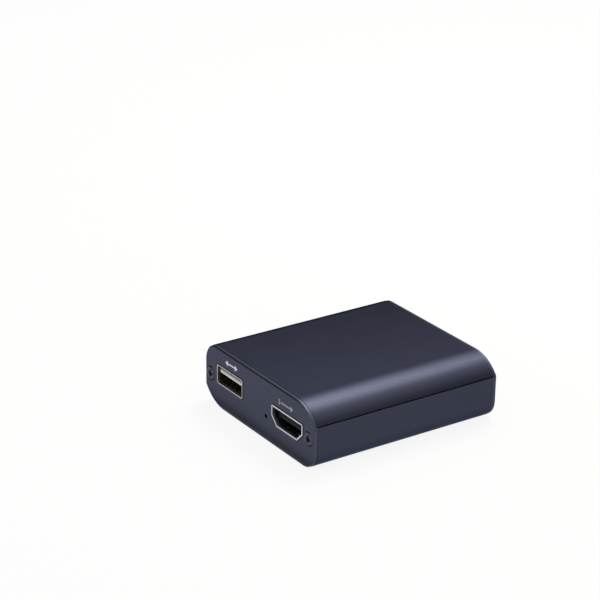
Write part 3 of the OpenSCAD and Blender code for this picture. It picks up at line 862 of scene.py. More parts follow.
# inside: the mouth's painted shade, lighter than in the video ports
DATA_SHELL = PortPlating(
    "data_port_nickel", (0.42, 0.41, 0.405), tarnish=(0.27, 0.25, 0.23),
    roughness=0.36, cloud=1.6 * MM, tarnished=0.5, node="usb_shell", inside=0.25,
)
OUTLET_SHELL = PortPlating(
    "outlet_nickel", (0.51, 0.52, 0.58), tarnish=(0.36, 0.36, 0.41),
    roughness=0.34, cloud=1.6 * MM, tarnished=0.4, node="outlet_shell",
)
INLET_SHELL = replace(OUTLET_SHELL, name="inlet_nickel", node="inlet_shell")
CREAM_PLASTIC = TonguePlastic(
    "tongue_plastic_cream", (0.7, 0.68, 0.64), roughness=0.45, texture=0.1 * MM, contrast=0.05,
    depth=0.004 * MM, lip=TONGUE_LIP, root=TONGUE_ROOT,
)
BLACK_PLASTIC = MouldedPlastic("insulator_plastic_black", (0.01, 0.01, 0.012), roughness=0.55, gloss=0.12)
CONTACT_GOLD = PlatedMetal(
    "contact_gold", (0.83, 0.61, 0.27), tarnish=(0.55, 0.36, 0.14),
    roughness=0.24, cloud=0.8 * MM, tarnished=0.35,
)
TINNED_LEAD = PlatedMetal(
    "lead_tin", (0.72, 0.72, 0.73), tarnish=(0.45, 0.45, 0.46),
    roughness=0.34, cloud=0.5 * MM, tarnished=0.4,
)
CAN_METAL = PlatedMetal(
    "can_aluminium", (0.78, 0.78, 0.79), tarnish=(0.6, 0.6, 0.61),
    roughness=0.3, cloud=1.1 * MM, brush=(1.0, 1.0, 0.05),
)
SOLDER = PlatedMetal(
    "solder_tin", (0.66, 0.66, 0.67), tarnish=(0.42, 0.42, 0.43),
    roughness=0.3, cloud=0.35 * MM, tarnished=0.6, brush=EVEN,
)
COPPER_WIRE = PlatedMetal(
    "winding_copper", (0.62, 0.25, 0.1), tarnish=(0.4, 0.14, 0.06),
    roughness=0.26, cloud=0.5 * MM, tarnished=0.5,
)
CHIP_RESIN = MouldedPlastic(
    "chip_resin", (0.018, 0.018, 0.02), roughness=0.58, texture=0.07 * MM, contrast=0.25, depth=0.008 * MM
)
FERRITE = Ceramic("inductor_ferrite", (0.075, 0.075, 0.08), speck=(0.03, 0.03, 0.032), roughness=0.62)
CHIP_CERAMIC = Ceramic("capacitor_ceramic", (0.46, 0.31, 0.18), speck=(0.32, 0.2, 0.11), roughness=0.5)
RESISTOR_CERAMIC = Ceramic(
    "resistor_glaze", (0.02, 0.02, 0.022), speck=(0.06, 0.06, 0.065),
    roughness=0.35, size=0.08 * MM, share=0.2,
)
BOARD = BoardLaminate("board_solder_mask", (0.012, 0.1, 0.045))
# dark epoxy, made this dark so that it also paints the shade in the pinhole in front of it
LAMP = LampEpoxy("lamp_epoxy_dark", (0.2, 0.22, 0.21))
WHITE_INK = PrintInk("print_ink_white", (0.74, 0.75, 0.77))
GREY_INK = PrintInk("print_ink_grey", (0.3, 0.31, 0.35))
BLACK_INK = PrintInk("print_ink_black", (0.02, 0.02, 0.024))


def deselect_all() -> None:
    """Leaves edit mode and clears the selection."""
    active = bpy.context.view_layer.objects.active
    if active is not None and active.mode != "OBJECT":
        bpy.ops.object.mode_set(mode="OBJECT")
    bpy.ops.object.select_all(action="DESELECT")


def extrude(move: Point) -> None:
    """Draws out what is selected in edit mode."""
    bpy.ops.mesh.extrude_region_move(TRANSFORM_OT_translate={"value": move})


class Workpiece:
    """One mesh on the bench, worked on with Blender's own tools."""

    def __init__(self, obj: bpy.types.Object) -> None:
        """Takes an object onto the bench."""
        self.obj = obj

    @classmethod
    def from_node(cls, node: str, name: str) -> "Workpiece":
        """Takes a copy of a CAD node, merged, with its flat faces whole again.

        Args:
            node: The CAD node.
            name: The new piece's name.

        Returns:
            The copy.
        """
        obj = bpy.data.objects.new(name, frame["nodes"][node].data.copy())
        bpy.context.scene.collection.objects.link(obj)
        work = cls(obj)
        work.activate()
        bpy.ops.mesh.customdata_custom_splitnormals_clear()
        with work.editing():
            bpy.ops.mesh.select_all(action="SELECT")
            bpy.ops.mesh.remove_doubles(threshold=WELD)
            bpy.ops.mesh.mark_sharp(clear=True)
            bpy.ops.mesh.dissolve_limited(angle_limit=FLAT_ANGLE)
        return work

    @classmethod
    def dressed(cls, node: str, name: str, edge: float, finish: Finish, slot: Slot) -> "Workpiece":
        """Copies a CAD node, breaks its edges and gives it its finish.

        Args:
            node: The CAD node, which the piece then stands for.
            name: The new piece's name.
            edge: Width of the broken edges, in metres.
            finish: The finish.
            slot: The record's material slot.

        Returns:
            The finished piece.
        """
        work = cls.from_node(node, name)
        work.soften(edge)
        return work.finish(finish, slot, node)

    @classmethod
    def primitive(cls, name: str, add: Callable[..., object], **settings: object) -> "Workpiece":
        """Starts from one of Blender's primitives.

        Args:
            name: The new piece's name.
            add: The operator that adds the primitive.
            **settings: The operator's settings.

        Returns:
            The new piece.
        """
        deselect_all()
        add(**settings)
        obj = bpy.context.object
        obj.name = name
        return cls(obj)

    @classmethod
    def turned(
        cls, name: str, profile: Iterable[tuple[float, float]], centre: Point, axis: Axis, steps: int
    ) -> "Workpiece":
        """Draws a profile point by point and spins it once round.

        Args:
            name: The new piece's name.
            profile: Points as (radius, distance along the axis), in metres.
            centre: A point on the axis.
            axis: The axis, Y or Z.
            steps: Steps of the spin.

        Returns:
            The turned piece.
        """
        work = cls.primitive(name, bpy.ops.mesh.primitive_plane_add, size=MM)
        radial, length = Vector(Axis.X.value), Vector(axis.value)
        points = [Vector(centre) + radial * radius + length * run for radius, run in profile]
        with work.editing():
            bpy.ops.mesh.select_all(action="SELECT")
            bpy.ops.mesh.merge(type="CENTER")
            bpy.ops.transform.translate(value=points[0])
            for start, stop in zip(points, points[1:]):
                extrude(stop - start)
            bpy.ops.mesh.select_all(action="SELECT")
            bpy.ops.mesh.spin(steps=steps, angle=math.tau, center=centre, axis=axis.value)
            work.close()
        return work

    @classmethod
    def block(cls, name: str, centre: Point, size: Point) -> "Workpiece":
        """Starts from a cube that is stretched into a block.

        Args:
            name: The new piece's name.
            centre: Its middle, in metres.
            size: Its sizes, in metres.

        Returns:
            The block.
        """
        work = cls.primitive(name, bpy.ops.mesh.primitive_cube_add, size=1.0)
        work.put(centre, stretch=size)
        return work

    def activate(self) -> None:
        """Makes this the only selected object."""
        deselect_all()
        self.obj.select_set(True)
        bpy.context.view_layer.objects.active = self.obj

    @contextmanager
    def editing(self) -> Iterator[None]:
        """Edit mode for as long as the block lasts.

        Returns:
            The context, which leaves edit mode at its end.
        """
        self.activate()
        bpy.ops.object.mode_set(mode="EDIT")
        bpy.ops.mesh.select_mode(type=Kind.VERTICES.value)
        try:
            yield
        finally:
            bpy.ops.object.mode_set(mode="OBJECT")

    def pick(self, kind: Kind, test: Callable[[object], bool]) -> None:
        """Selects, in edit mode, what passes a test and nothing else.

        Args:
            kind: Vertices, edges or faces.
            test: The test.
        """
        bpy.ops.mesh.select_mode(type=kind.value)
        bpy.ops.mesh.select_all(action="DESELECT")
        mesh = bmesh.from_edit_mesh(self.obj.data)
        items = {Kind.VERTICES: mesh.verts, Kind.EDGES: mesh.edges, Kind.FACES: mesh.faces}[kind]
        for item in [item for item in items if test(item)]:
            item.select_set(True)
        mesh.select_flush_mode()
        bmesh.update_edit_mesh(self.obj.data)

    def close(self, ends: int = 0) -> None:
        """Welds the mesh in edit mode, closes its open ends and turns its faces outwards.

        Args:
            ends: Sides of an open end; zero where there is none.
        """
        bpy.ops.mesh.select_all(action="SELECT")
        bpy.ops.mesh.remove_doubles(threshold=WELD)
        if ends:
            bpy.ops.mesh.fill_holes(sides=ends)
        bpy.ops.mesh.normals_make_consistent(inside=False)

    def thicken(self, move: Point) -> None:
        """Draws a flat shape out into a solid, in edit mode.

        Args:
            move: The solid's thickness and its direction, in metres.
        """
        bpy.ops.mesh.select_all(action="SELECT")
        extrude(move)
        bpy.ops.mesh.select_all(action="SELECT")
        bpy.ops.mesh.normals_make_consistent(inside=False)

    def modify(self, kind: str, **settings: object) -> None:
        """Adds a modifier and applies it.

        Args:
            kind: The modifier's type.
            **settings: Its settings.
        """
        self.activate()
        bpy.ops.object.modifier_add(type=kind)
        modifier = self.obj.modifiers[-1]
        for key, setting in settings.items():
            setattr(modifier, key, setting)
        bpy.ops.object.modifier_apply(modifier=modifier.name)

    def wind(self, pitch: float, turns: int, steps: int) -> None:
        """Sweeps a drawn outline round and up the Z axis, by one pitch in each turn."""
        settings = {"axis": "Z", "angle": math.tau, "screw_offset": pitch, "iterations": turns}
        self.modify("SCREW", **settings, steps=steps, render_steps=steps)

    def combine(self, tool: "Workpiece", way: Combine) -> None:
        """Cuts out or adds a tool's shape, and removes the tool."""
        self.modify("BOOLEAN", operation=way.value, object=tool.obj, solver="EXACT")
        bpy.data.objects.remove(tool.obj)

    def soften(self, width: float) -> None:
        """Breaks the sharp edges and keeps the flat faces flat.

        Args:
            width: Width of the broken edge, in metres.
        """
        limit = {"limit_method": "ANGLE", "angle_limit": EDGE_ANGLE}
        self.modify("BEVEL", width=width, segments=EDGE_STEPS, **limit)
        self.smooth()

    def smooth(self, angle: float = SMOOTH_ANGLE) -> None:
        """Shades the piece smooth, except over sharp edges.

        Args:
            angle: Edges sharper than this, in radians, stay sharp.
        """
        self.activate()
        bpy.ops.object.shade_smooth_by_angle(angle=angle)
        self.modify("WEIGHTED_NORMAL", weight=FLAT_WEIGHT, keep_sharp=True)

    def copied(self, name: str, move: Point = NOWHERE, turn: float = 0.0) -> "Workpiece":
        """Copies the piece with its own mesh, turned about Z through the origin and then moved.

        Args:
            name: The copy's name.
            move: The move, in metres.
            turn: The turn, in radians.

        Returns:
            The copy.
        """
        self.activate()
        bpy.ops.object.duplicate(linked=False)
        copy = Workpiece(bpy.context.object)
        copy.obj.name = name
        copy.put(move, (0.0, 0.0, turn))
        return copy

    def repeated(self, stem: str, places: list[Box]) -> Iterator["Workpiece"]:
        """Copies the piece from the first of some places to each of the others.

        Args:
            stem: The copies' name, before their number.
            places: Boxes round equal solids; the piece is in the first.

        Returns:
            The piece and then its copies, each made when it is asked for.
        """
        yield self
        start = places[0][0]
        for number, (low, _) in enumerate(places[1:], 2):
            yield self.copied(f"{stem}_{number}", tuple(low - start))

    def join(self, other: "Workpiece") -> None:
        """Joins another piece into this one.

        Args:
            other: The other piece.
        """
        self.activate()
        other.obj.select_set(True)
        bpy.ops.object.join()

    def put(self, place: Point = NOWHERE, turn: Point = NOWHERE, stretch: Point = EVEN) -> None:
        """Stretches, turns and moves the piece, and leaves its place in its mesh.

        Args:
            place: Where the piece's origin goes, in metres.
            turn: Turns about the three axes, in radians.
            stretch: Factors along the three axes.
        """
        self.obj.location = place
        self.obj.rotation_euler = turn
        self.obj.scale = stretch
        self.activate()
        bpy.ops.object.transform_apply(location=True, rotation=True, scale=True)

    def finish(self, finish: Finish, slot: Slot, *nodes: str) -> "Workpiece":
        """Gives the piece its finish and its place in the part.

        Args:
            finish: The finish.
            slot: The record's material slot; not used.
            *nodes: CAD nodes that the piece stands for.

        Returns:
            This piece.
        """
        self.obj.data.materials.clear()
        self.obj.data.materials.append(finish.material())
        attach(self.obj, BODY)
        if nodes:
            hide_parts(*nodes)
        LOG.info("%s: %d faces", self.obj.name, len(self.obj.data.polygons))
        return self


def dress_node(node: str, finish: Finish) -> None:
    """Gives a CAD node that stays a finish.

    Args:
        node: The node.
        finish: The finish.
    """
    materials = frame["nodes"][node].data.materials
    materials.clear()
    materials.append(finish.material())
    LOG.info("%s: kept, %s", node, finish.name)


def solid_boxes(node: str) -> list[Box]:
    """Measures the separate solids of a CAD node.

    Args:
        node: The node.

    Returns:
        The boxes round its solids, in order of place.
    """
    gauge = Workpiece.from_node(node, f"{node}_gauge")
    mesh = bmesh.new()
    mesh.from_mesh(gauge.obj.data)
    boxes = [corners(vertex.co for face in group for vertex in face.verts) for group in islands(mesh)]
    mesh.free()
    bpy.data.objects.remove(gauge.obj)
    return sorted(boxes, key=lambda box: tuple(box[0]))


@dataclass
class Case:
    """The two extruded half shells."""

    edge: float = 0.06 * MM

    def build(self) -> None:
        """Breaks the sawn edges of both halves and dresses them."""
        for node, name in (("top_shell", "upper_half_shell"), ("bottom_shell", "lower_half_shell")):
            Workpiece.dressed(node, name, self.edge, CASE_METAL, Slot.CASE_METAL)


class Mark(Enum):
    """A plain arrow printed beside a port."""

    OUT = "out"
    IN = "in"
    BOTH = "both"


@dataclass(frozen=True)
class PortMark:
    """An arrow's form, its ink and its place beside a port."""

    name: str
    mark: Mark
    port: str
    beside: float
    above: float
    length: float
    ink: Finish


@dataclass
class EndPanels:
    """The two end panels and the arrows printed on them."""

    edge: float = 0.06 * MM
    ink: float = 0.02 * MM
    stroke: float = 0.44 * MM
    head: float = 1.3 * MM
    barb: float = 0.85 * MM
    bar_gap: float = 0.44 * MM
    marks: tuple[PortMark, ...] = (
        PortMark("data_port_mark", Mark.BOTH, "usb_shell", 0.7 * MM, 4.95 * MM, 6.2 * MM, WHITE_INK),
        PortMark("video_outlet_mark", Mark.OUT, "outlet_shell", -0.2 * MM, 5.0 * MM, 6.0 * MM, GREY_INK),
        PortMark("video_inlet_mark", Mark.IN, "inlet_shell", 0.0, 5.0 * MM, 6.0 * MM, GREY_INK),
    )

    def build(self) -> None:
        """Dresses both panels and prints their marks."""
        for node, name in (("front_panel", "port_end_panel"), ("rear_panel", "inlet_end_panel")):
            Workpiece.dressed(node, name, self.edge, PANEL_METAL, Slot.PANEL_METAL)
        for mark in self.marks:
            self.printed(mark).finish(mark.ink, Slot.WHITE_PLASTIC)

    def printed(self, mark: PortMark) -> Workpiece:
        """Prints an arrow on the panel that its port is in.

        Args:
            mark: The arrow's form and place.

        Returns:
            The arrow, facing out of its panel.
        """
        centre = mouth_centre(mark.port)
        at_rear = centre.y > 0
        across = -centre.x if at_rear else centre.x
        piece = self.arrow(mark.name, mark.mark, mark.length)
        piece.put((across + mark.beside, -FACE, centre.z + mark.above))
        if at_rear:
            piece.put(turn=(0.0, 0.0, HALF_TURN))
        return piece

    def arrow(self, name: str, mark: Mark, length: float) -> Workpiece:
        """Draws an arrow in ink, facing along -Y.

        Args:
            name: The piece's name.
            mark: Where its heads and its bar are.
            length: Its whole length, in metres.

        Returns:
            The arrow, with its middle at the origin.
        """
        piece = Workpiece.primitive(name, bpy.ops.mesh.primitive_plane_add, size=1.0)
        heads = 2 if mark is Mark.BOTH else 1
        shaft = length - heads * self.head
        middle = (heads - 2) * self.head / 2
        piece.put((middle, 0.0, 0.0), (QUARTER_TURN, 0.0, 0.0), (shaft, self.stroke, 1.0))
        with piece.editing():
            for side in (1.0, -1.0)[:heads]:
                self.head_on(piece, middle + side * shaft / 2, side)
            if mark is not Mark.BOTH:
                side = 1.0 if mark is Mark.IN else -1.0
                self.bar_at(side * (length / 2 + self.bar_gap + self.stroke / 2))
            piece.thicken((0.0, -self.ink, 0.0))
        return piece

    def head_on(self, piece: Workpiece, end: float, side: float) -> None:
        """Draws a head on one end of the shaft.

        Args:
            piece: The arrow, in edit mode.
            end: Where the shaft ends, in metres.
            side: The way that the head points, 1 or -1.
        """
        piece.pick(Kind.EDGES, lambda edge: all(abs(vertex.co.x - end) < WELD for vertex in edge.verts))
        extrude(NOWHERE)
        grow = 2 * self.barb / self.stroke
        bpy.ops.transform.resize(value=(1.0, 1.0, grow), center_override=(end, 0.0, 0.0))
        extrude((side * self.head, 0.0, 0.0))
        bpy.ops.mesh.merge(type="CENTER")

    def bar_at(self, place: float) -> None:
        """Draws, in edit mode, the bar that an arrow leaves or meets.

        Args:
            place: Where the bar stands, in metres.
        """
        centre = (place, 0.0, 0.0)
        bpy.ops.mesh.primitive_plane_add(size=1.0, location=centre, rotation=(QUARTER_TURN, 0.0, 0.0))
        bpy.ops.transform.resize(value=(self.stroke, 1.0, 2 * self.barb), center_override=centre)


@dataclass
class PanelScrews:
    """Four countersunk cross-recess screws: one is modelled, the others are copies."""

    edge: float = 0.05 * MM
    steps: int = 40
    core: float = 0.95 * MM
    crest: float = 1.2 * MM
    pitch: float = 0.8 * MM
    thread_steps: int = 20
    thread_gap: float = 0.3 * MM
    ridge_sink: float = 0.05 * MM
    ridge_share: float = 0.3
    recess_span: float = 2.9 * MM
    recess_width: float = 1.15 * MM
    recess_depth: float = 0.95 * MM
    recess_taper: Point = (0.55, 1.0, 0.6)
    recess_turn: float = 8.0
    crown: tuple[tuple[float, float], ...] = (
        (0.0, 0.95), (0.43, 0.91), (0.64, 0.76), (0.79, 0.5), (0.88, 0.13), (0.93, -0.34), (0.95, -0.85)
    )

    def __post_init__(self) -> None:
        """Reads the screws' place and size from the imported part."""
        low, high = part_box("front_screws")
        self.head_radius = (high.z - low.z) / 2
        self.proud = -FACE - low.y
        self.length = high.y + FACE
        self.place = Vector((high.x - self.head_radius, -FACE, (low.z + high.z) / 2))

    def build(self) -> None:
        """Models one screw and puts copies at both ends of the case."""
        first = self.blank()
        first.combine(self.recess(), Combine.CUT)
        first.soften(self.edge)
        first.join(self.thread())
        spacing = 2 * self.place.x
        rear = first.copied("rear_screw_left", turn=HALF_TURN)
        pieces = (
            (first, "front_screws"),
            (first.copied("front_screw_left", (-spacing, 0.0, 0.0)), "front_screws"),
            (rear, "rear_screws"),
            (rear.copied("rear_screw_right", (spacing, 0.0, 0.0)), "rear_screws"),
        )
        for piece, node in pieces:
            piece.finish(SCREW_METAL, Slot.SCREW_METAL, node)

    def neck(self) -> float:
        """How far behind the panel's face the cone of the head ends."""
        share, drop = self.crown[-1]
        return share * self.head_radius - drop * self.proud - self.core

    def blank(self) -> Workpiece:
        """Turns the head with its flat crown and rounded rim, its cone and the plain core of the shank.

        Returns:
            The blank of the right front screw.
        """
        profile = [
            *((share * self.head_radius, -rise * self.proud) for share, rise in self.crown),
            (self.core, self.neck()),
            (self.core, self.length - self.core),
            (0.0, self.length),
        ]
        return Workpiece.turned("front_screw_right", profile, self.place, Axis.Y, self.steps)

    def recess(self) -> Workpiece:
        """Makes the tapered cross that is taken out of the head.

        Returns:
            The cross, in its place.
        """
        arms = []
        depth = 2 * self.recess_depth
        for number in range(2):
            size = (self.recess_span, depth, self.recess_width)
            arm = Workpiece.block(f"recess_arm_{number}", NOWHERE, size)
            with arm.editing():
                arm.pick(Kind.VERTICES, lambda vertex: vertex.co.y > 0)
                bpy.ops.transform.resize(value=self.recess_taper, center_override=(0.0, depth / 2, 0.0))
            turn = math.radians(self.recess_turn) + number * QUARTER_TURN
            arm.put(self.place - Vector((0.0, self.proud, 0.0)), (0.0, turn, 0.0))
            arms.append(arm)
        arms[0].combine(arms[1], Combine.UNITE)
        return arms[0]

    def thread(self) -> Workpiece:
        """Sweeps a triangular ridge round the shank and closes its two ends.

        Returns:
            The ridge, in its place.
        """
        start = self.neck() + self.thread_gap
        turns = int((self.length - self.core - start) / self.pitch)
        root = self.core - self.ridge_sink
        outline = ((root, -self.ridge_share), (self.crest, 0.0), (root, self.ridge_share))
        triangle = {"vertices": len(outline), "radius": self.crest - self.core}
        ridge = Workpiece.primitive("thread_ridge", bpy.ops.mesh.primitive_circle_add, **triangle)
        with ridge.editing():
            for index, (radius, share) in enumerate(outline):
                ridge.pick(Kind.VERTICES, lambda vertex, number=index: vertex.index == number)
                mesh = bmesh.from_edit_mesh(ridge.obj.data)
                now = next(vertex.co for vertex in mesh.verts if vertex.select)
                goal = Vector((radius, 0.0, start + share * self.pitch))
                bpy.ops.transform.translate(value=goal - now)
        ridge.wind(self.pitch, turns, self.thread_steps)
        with ridge.editing():
            ridge.close(ends=len(outline))
        ridge.put(self.place, (-QUARTER_TURN, 0.0, 0.0))
        return ridge


@dataclass
class Port:
    """One port's shell, insulator and contacts."""

    node: str
    name: str
    plating: Finish
    plastic: Finish
    plastic_slot: Slot
    shell_edge: float
    insulator_edge: float
    contact_edge: float

    def build(self) -> None:
        """Breaks the edges and dresses the three pieces."""
        pieces = (
            ("shell", self.shell_edge, self.plating, Slot.PORT_METAL),
            ("insulator", self.insulator_edge, self.plastic, self.plastic_slot),
            ("contacts", self.contact_edge, CONTACT_GOLD, Slot.CONTACT_METAL),
        )
        for piece, edge, finish, slot in pieces:
            Workpiece.dressed(f"{self.node}_{piece}", f"{self.name}_{piece}", edge, finish, slot)


DATA_PORT = Port(
    "usb", "data_port", DATA_SHELL, CREAM_PLASTIC, Slot.WHITE_PLASTIC,
    shell_edge=0.1 * MM, insulator_edge=0.08 * MM, contact_edge=0.05 * MM,
)
VIDEO_OUTLET = Port(
    "outlet", "video_outlet", OUTLET_SHELL, BLACK_PLASTIC, Slot.BLACK_PLASTIC,
    shell_edge=0.12 * MM, insulator_edge=0.03 * MM, contact_edge=0.03 * MM,
)
VIDEO_INLET = replace(VIDEO_OUTLET, node="inlet", name="video_inlet", plating=INLET_SHELL)


@dataclass
class ChipRow:
    """A group of two-terminal chips with tinned ends."""

    node: str
    name: str
    finish: Finish
    slot: Slot
    cap_share: float = 0.2
    edge: float = 0.03 * MM

    def build(self) -> None:
        """Breaks the edges, dresses the chips and tins their ends."""
        row = Workpiece.dressed(self.node, self.name, self.edge, self.finish, self.slot)
        row.obj.data.materials.append(TINNED_LEAD.material())
        with row.editing():
            mesh = bmesh.from_edit_mesh(row.obj.data)
            caps = {face.index for group in islands(mesh) for face in self.caps(group)}
            row.pick(Kind.FACES, lambda face: face.index in caps)
            row.obj.active_material_index = 1
            bpy.ops.object.material_slot_assign()

    def caps(self, group: list[bmesh.types.BMFace]) -> list[bmesh.types.BMFace]:
        """Finds the two end caps of one chip.

        Args:
            group: The chip's faces.

        Returns:
            The faces of its caps.
        """
        low, high = corners(vertex.co for face in group for vertex in face.verts)
        long = 0 if high.x - low.x > high.y - low.y else 1
        body = (0.5 - self.cap_share) * (high[long] - low[long]) - self.edge
        middle = (high[long] + low[long]) / 2
        return [face for face in group if abs(face.calc_center_median()[long] - middle) > body]


@dataclass
class CapacitorCans:
    """Upright capacitors: one can is turned, scored and marked, the others are copies."""

    steps: int = 40
    shoulder: float = 0.3 * MM
    groove: float = 0.2 * MM
    groove_rise: float = 0.75 * MM
    bends: tuple[int, ...] = (0, 30, 60, 90)
    score_width: float = 0.12 * MM
    score_depth: float = 0.1 * MM
    score_share: float = 1.3
    mark_share: float = 0.42
    mark_radius_share: float = 0.84
    ink: float = 0.012 * MM

    def build(self) -> None:
        """Makes one can and its mark, and copies both before they get their finish."""
        places = solid_boxes("capacitor_cans")
        cans = self.can(*places[0]).repeated("capacitor_can", places)
        marks = self.mark(*places[0]).repeated("polarity_mark", places)
        for can, mark in list(zip(cans, marks)):
            can.finish(CAN_METAL, Slot.CAN_METAL, "capacitor_cans")
            mark.finish(BLACK_INK, Slot.BLACK_PLASTIC)

    def can(self, low: Vector, high: Vector) -> Workpiece:
        """Turns a can with a rounded shoulder and a rolled groove, and scores a vent cross into its top.

        Args:
            low: Lowest corner of the can's box.
            high: Highest corner of the can's box.

        Returns:
            The can.
        """
        radius = (high.x - low.x) / 2
        middle = (low + high) / 2
        rolled = low.z + self.groove_rise
        bend = [(math.sin(math.radians(angle)), math.cos(math.radians(angle))) for angle in self.bends]
        inner = radius - self.shoulder
        wall_end = high.z - self.shoulder
        profile = [(0.0, high.z)]
        profile += [(inner + out * self.shoulder, wall_end + up * self.shoulder) for out, up in bend]
        profile += [(radius - self.groove * out, rolled + self.groove * up) for up, out in reversed(bend)]
        profile += [(radius - self.groove * out, rolled - self.groove * up) for up, out in bend[1:]]
        profile += [(radius, low.z), (0.0, low.z)]
        can = Workpiece.turned("capacitor_can_1", profile, (middle.x, middle.y, 0.0), Axis.Z, self.steps)
        length = radius * self.score_share
        for number, size in enumerate(((length, self.score_width), (self.score_width, length))):
            top = (middle.x, middle.y, high.z)
            tool = Workpiece.block(f"vent_tool_{number}", top, (*size, 2 * self.score_depth))
            can.combine(tool, Combine.CUT)
        can.smooth()
        return can

    def mark(self, low: Vector, high: Vector) -> Workpiece:
        """Prints the dark segment that marks one terminal.

        Args:
            low: Lowest corner of the can's box.
            high: Highest corner of the can's box.

        Returns:
            The segment, on top of the can.
        """
        radius = (high.x - low.x) / 2
        middle = (low + high) / 2
        disc = {"vertices": self.steps, "radius": radius * self.mark_radius_share, "fill_type": "NGON"}
        mark = Workpiece.primitive("polarity_mark_1", bpy.ops.mesh.primitive_circle_add, **disc)
        mark.put((middle.x, middle.y, high.z))
        with mark.editing():
            bpy.ops.mesh.select_all(action="SELECT")
            edge = (middle.x + radius * self.mark_share, middle.y, high.z)
            bpy.ops.mesh.bisect(plane_co=edge, plane_no=Axis.X.value, clear_inner=True)
            mark.thicken((0.0, 0.0, self.ink))
        return mark


@dataclass
class PowerInductors:
    """Drum cores, each with a copper coil between its two plates."""

    edge: float = 0.08 * MM
    plate: float = 0.6 * MM
    cap: float = 0.8 * MM
    core_radius: float = 1.8 * MM
    wire: float = 0.26 * MM
    wire_sides: int = 8
    spacing: float = 1.04
    steps: int = 24

    def build(self) -> None:
        """Dresses the cores, winds one coil, and copies it before it gets its finish."""
        Workpiece.dressed("inductors", "inductor_cores", self.edge, FERRITE, Slot.FERRITE)
        places = solid_boxes("inductors")
        for coil in list(self.coil(*places[0]).repeated("inductor_coil", places)):
            coil.finish(COPPER_WIRE, Slot.CONTACT_METAL)

    def coil(self, low: Vector, high: Vector) -> Workpiece:
        """Winds a round wire up the core and closes its two ends.

        Args:
            low: Lowest corner of the core's box.
            high: Highest corner of the core's box.

        Returns:
            The coil.
        """
        pitch = self.wire * self.spacing
        start = low.z + self.plate + self.wire / 2
        turns = int((high.z - self.cap - self.wire / 2 - start) / pitch)
        wire = {"vertices": self.wire_sides, "radius": self.wire / 2}
        coil = Workpiece.primitive("inductor_coil_1", bpy.ops.mesh.primitive_circle_add, **wire)
        coil.put((self.core_radius + self.wire / 2, 0.0, start), (QUARTER_TURN, 0.0, 0.0))
        coil.wind(pitch, turns, self.steps)
        with coil.editing():
            coil.close(ends=self.wire_sides)
        middle = (low + high) / 2
        coil.put((middle.x, middle.y, 0.0))
        coil.smooth()
        return coil


@dataclass
class StatusLight:
    """The lamp behind the pinhole, its leads and their solder."""

    foot: float = 0.72 * MM
    rise: float = 0.6 * MM
    steps: int = 20
    sharp: float = 60.0
    flare: tuple[tuple[float, float], ...] = (
        (0.0, 1.0), (0.44, 1.0), (0.52, 0.5), (0.68, 0.2), (1.0, 0.0), (0.0, 0.0)
    )

    def build(self) -> None:
        """Dresses lamp and leads, and solders each lead to the board."""
        dress_node("status_light", LAMP)
        dress_node("light_leads", TINNED_LEAD)
        profile = [(share * self.foot, BOARD_HIGH.z + up * self.rise) for share, up in self.flare]
        for number, (low, high) in enumerate(solid_boxes("light_leads"), 1):
            half = (high.x - low.x) / 2
            centre = (low.x + half, high.y - half, 0.0)
            fillet = Workpiece.turned(f"lamp_solder_{number}", profile, centre, Axis.Z, self.steps)
            fillet.smooth(math.radians(self.sharp))
            fillet.finish(SOLDER, Slot.LEAD_METAL)


@dataclass
class CircuitBoard:
    """The board and the parts that it carries."""

    edge: float = 0.07 * MM

    def build(self) -> None:
        """Dresses the board and its leads, and builds its parts."""
        dress_node("circuit_board", BOARD)
        for node in ("splitter_leads", "memory_leads", "regulator_leads"):
            dress_node(node, TINNED_LEAD)
        packages = (
            ("capture_chip", "capture_package", CHIP_RESIN, Slot.CHIP_PLASTIC),
            ("splitter_chip", "splitter_package", CHIP_RESIN, Slot.CHIP_PLASTIC),
            ("memory_chip", "memory_package", CHIP_RESIN, Slot.CHIP_PLASTIC),
            ("voltage_regulators", "regulator_packages", CHIP_RESIN, Slot.CHIP_PLASTIC),
            ("guard_arrays", "guard_packages", CHIP_RESIN, Slot.CHIP_PLASTIC),
            ("crystals", "crystal_cans", CAN_METAL, Slot.LEAD_METAL),
            ("capacitor_bases", "capacitor_seats", BLACK_PLASTIC, Slot.BLACK_PLASTIC),
        )
        for node, name, finish, slot in packages:
            Workpiece.dressed(node, name, self.edge, finish, slot)
        ChipRow("ceramic_capacitors", "ceramic_chips", CHIP_CERAMIC, Slot.CHIP_CERAMIC).build()
        ChipRow("chip_resistors", "resistor_chips", RESISTOR_CERAMIC, Slot.RESISTOR_CERAMIC).build()
        CapacitorCans().build()
        PowerInductors().build()
        StatusLight().build()


@dataclass(frozen=True)
class Card:
    """A dark card beside the set that only shows in reflections."""

    name: str
    centre: Point
    facing: Point
    size: tuple[float, float]
    felt: float = 2 * MM
    dark: Colour = (0.01, 0.01, 0.01)
    light: Colour = (0.02, 0.02, 0.02)
    roughness: float = 0.9

    def build(self) -> None:
        """Stands the card at its place, out of the camera's sight and casting no shadow."""
        card = Workpiece.primitive(self.name, bpy.ops.mesh.primitive_plane_add, size=1.0)
        turn = Vector(self.facing).to_track_quat("Z", "Y").to_euler()
        card.put(self.centre, turn, (*self.size, 1.0))
        shader = Shader.named(f"{self.name}_felt")
        tint = shader.mix(shader.noise(self.felt), self.dark, self.light)
        card.obj.data.materials.append(shader.surface(Base_Color=tint, Roughness=self.roughness))
        card.obj.visible_camera = False
        card.obj.visible_diffuse = False
        card.obj.visible_shadow = False


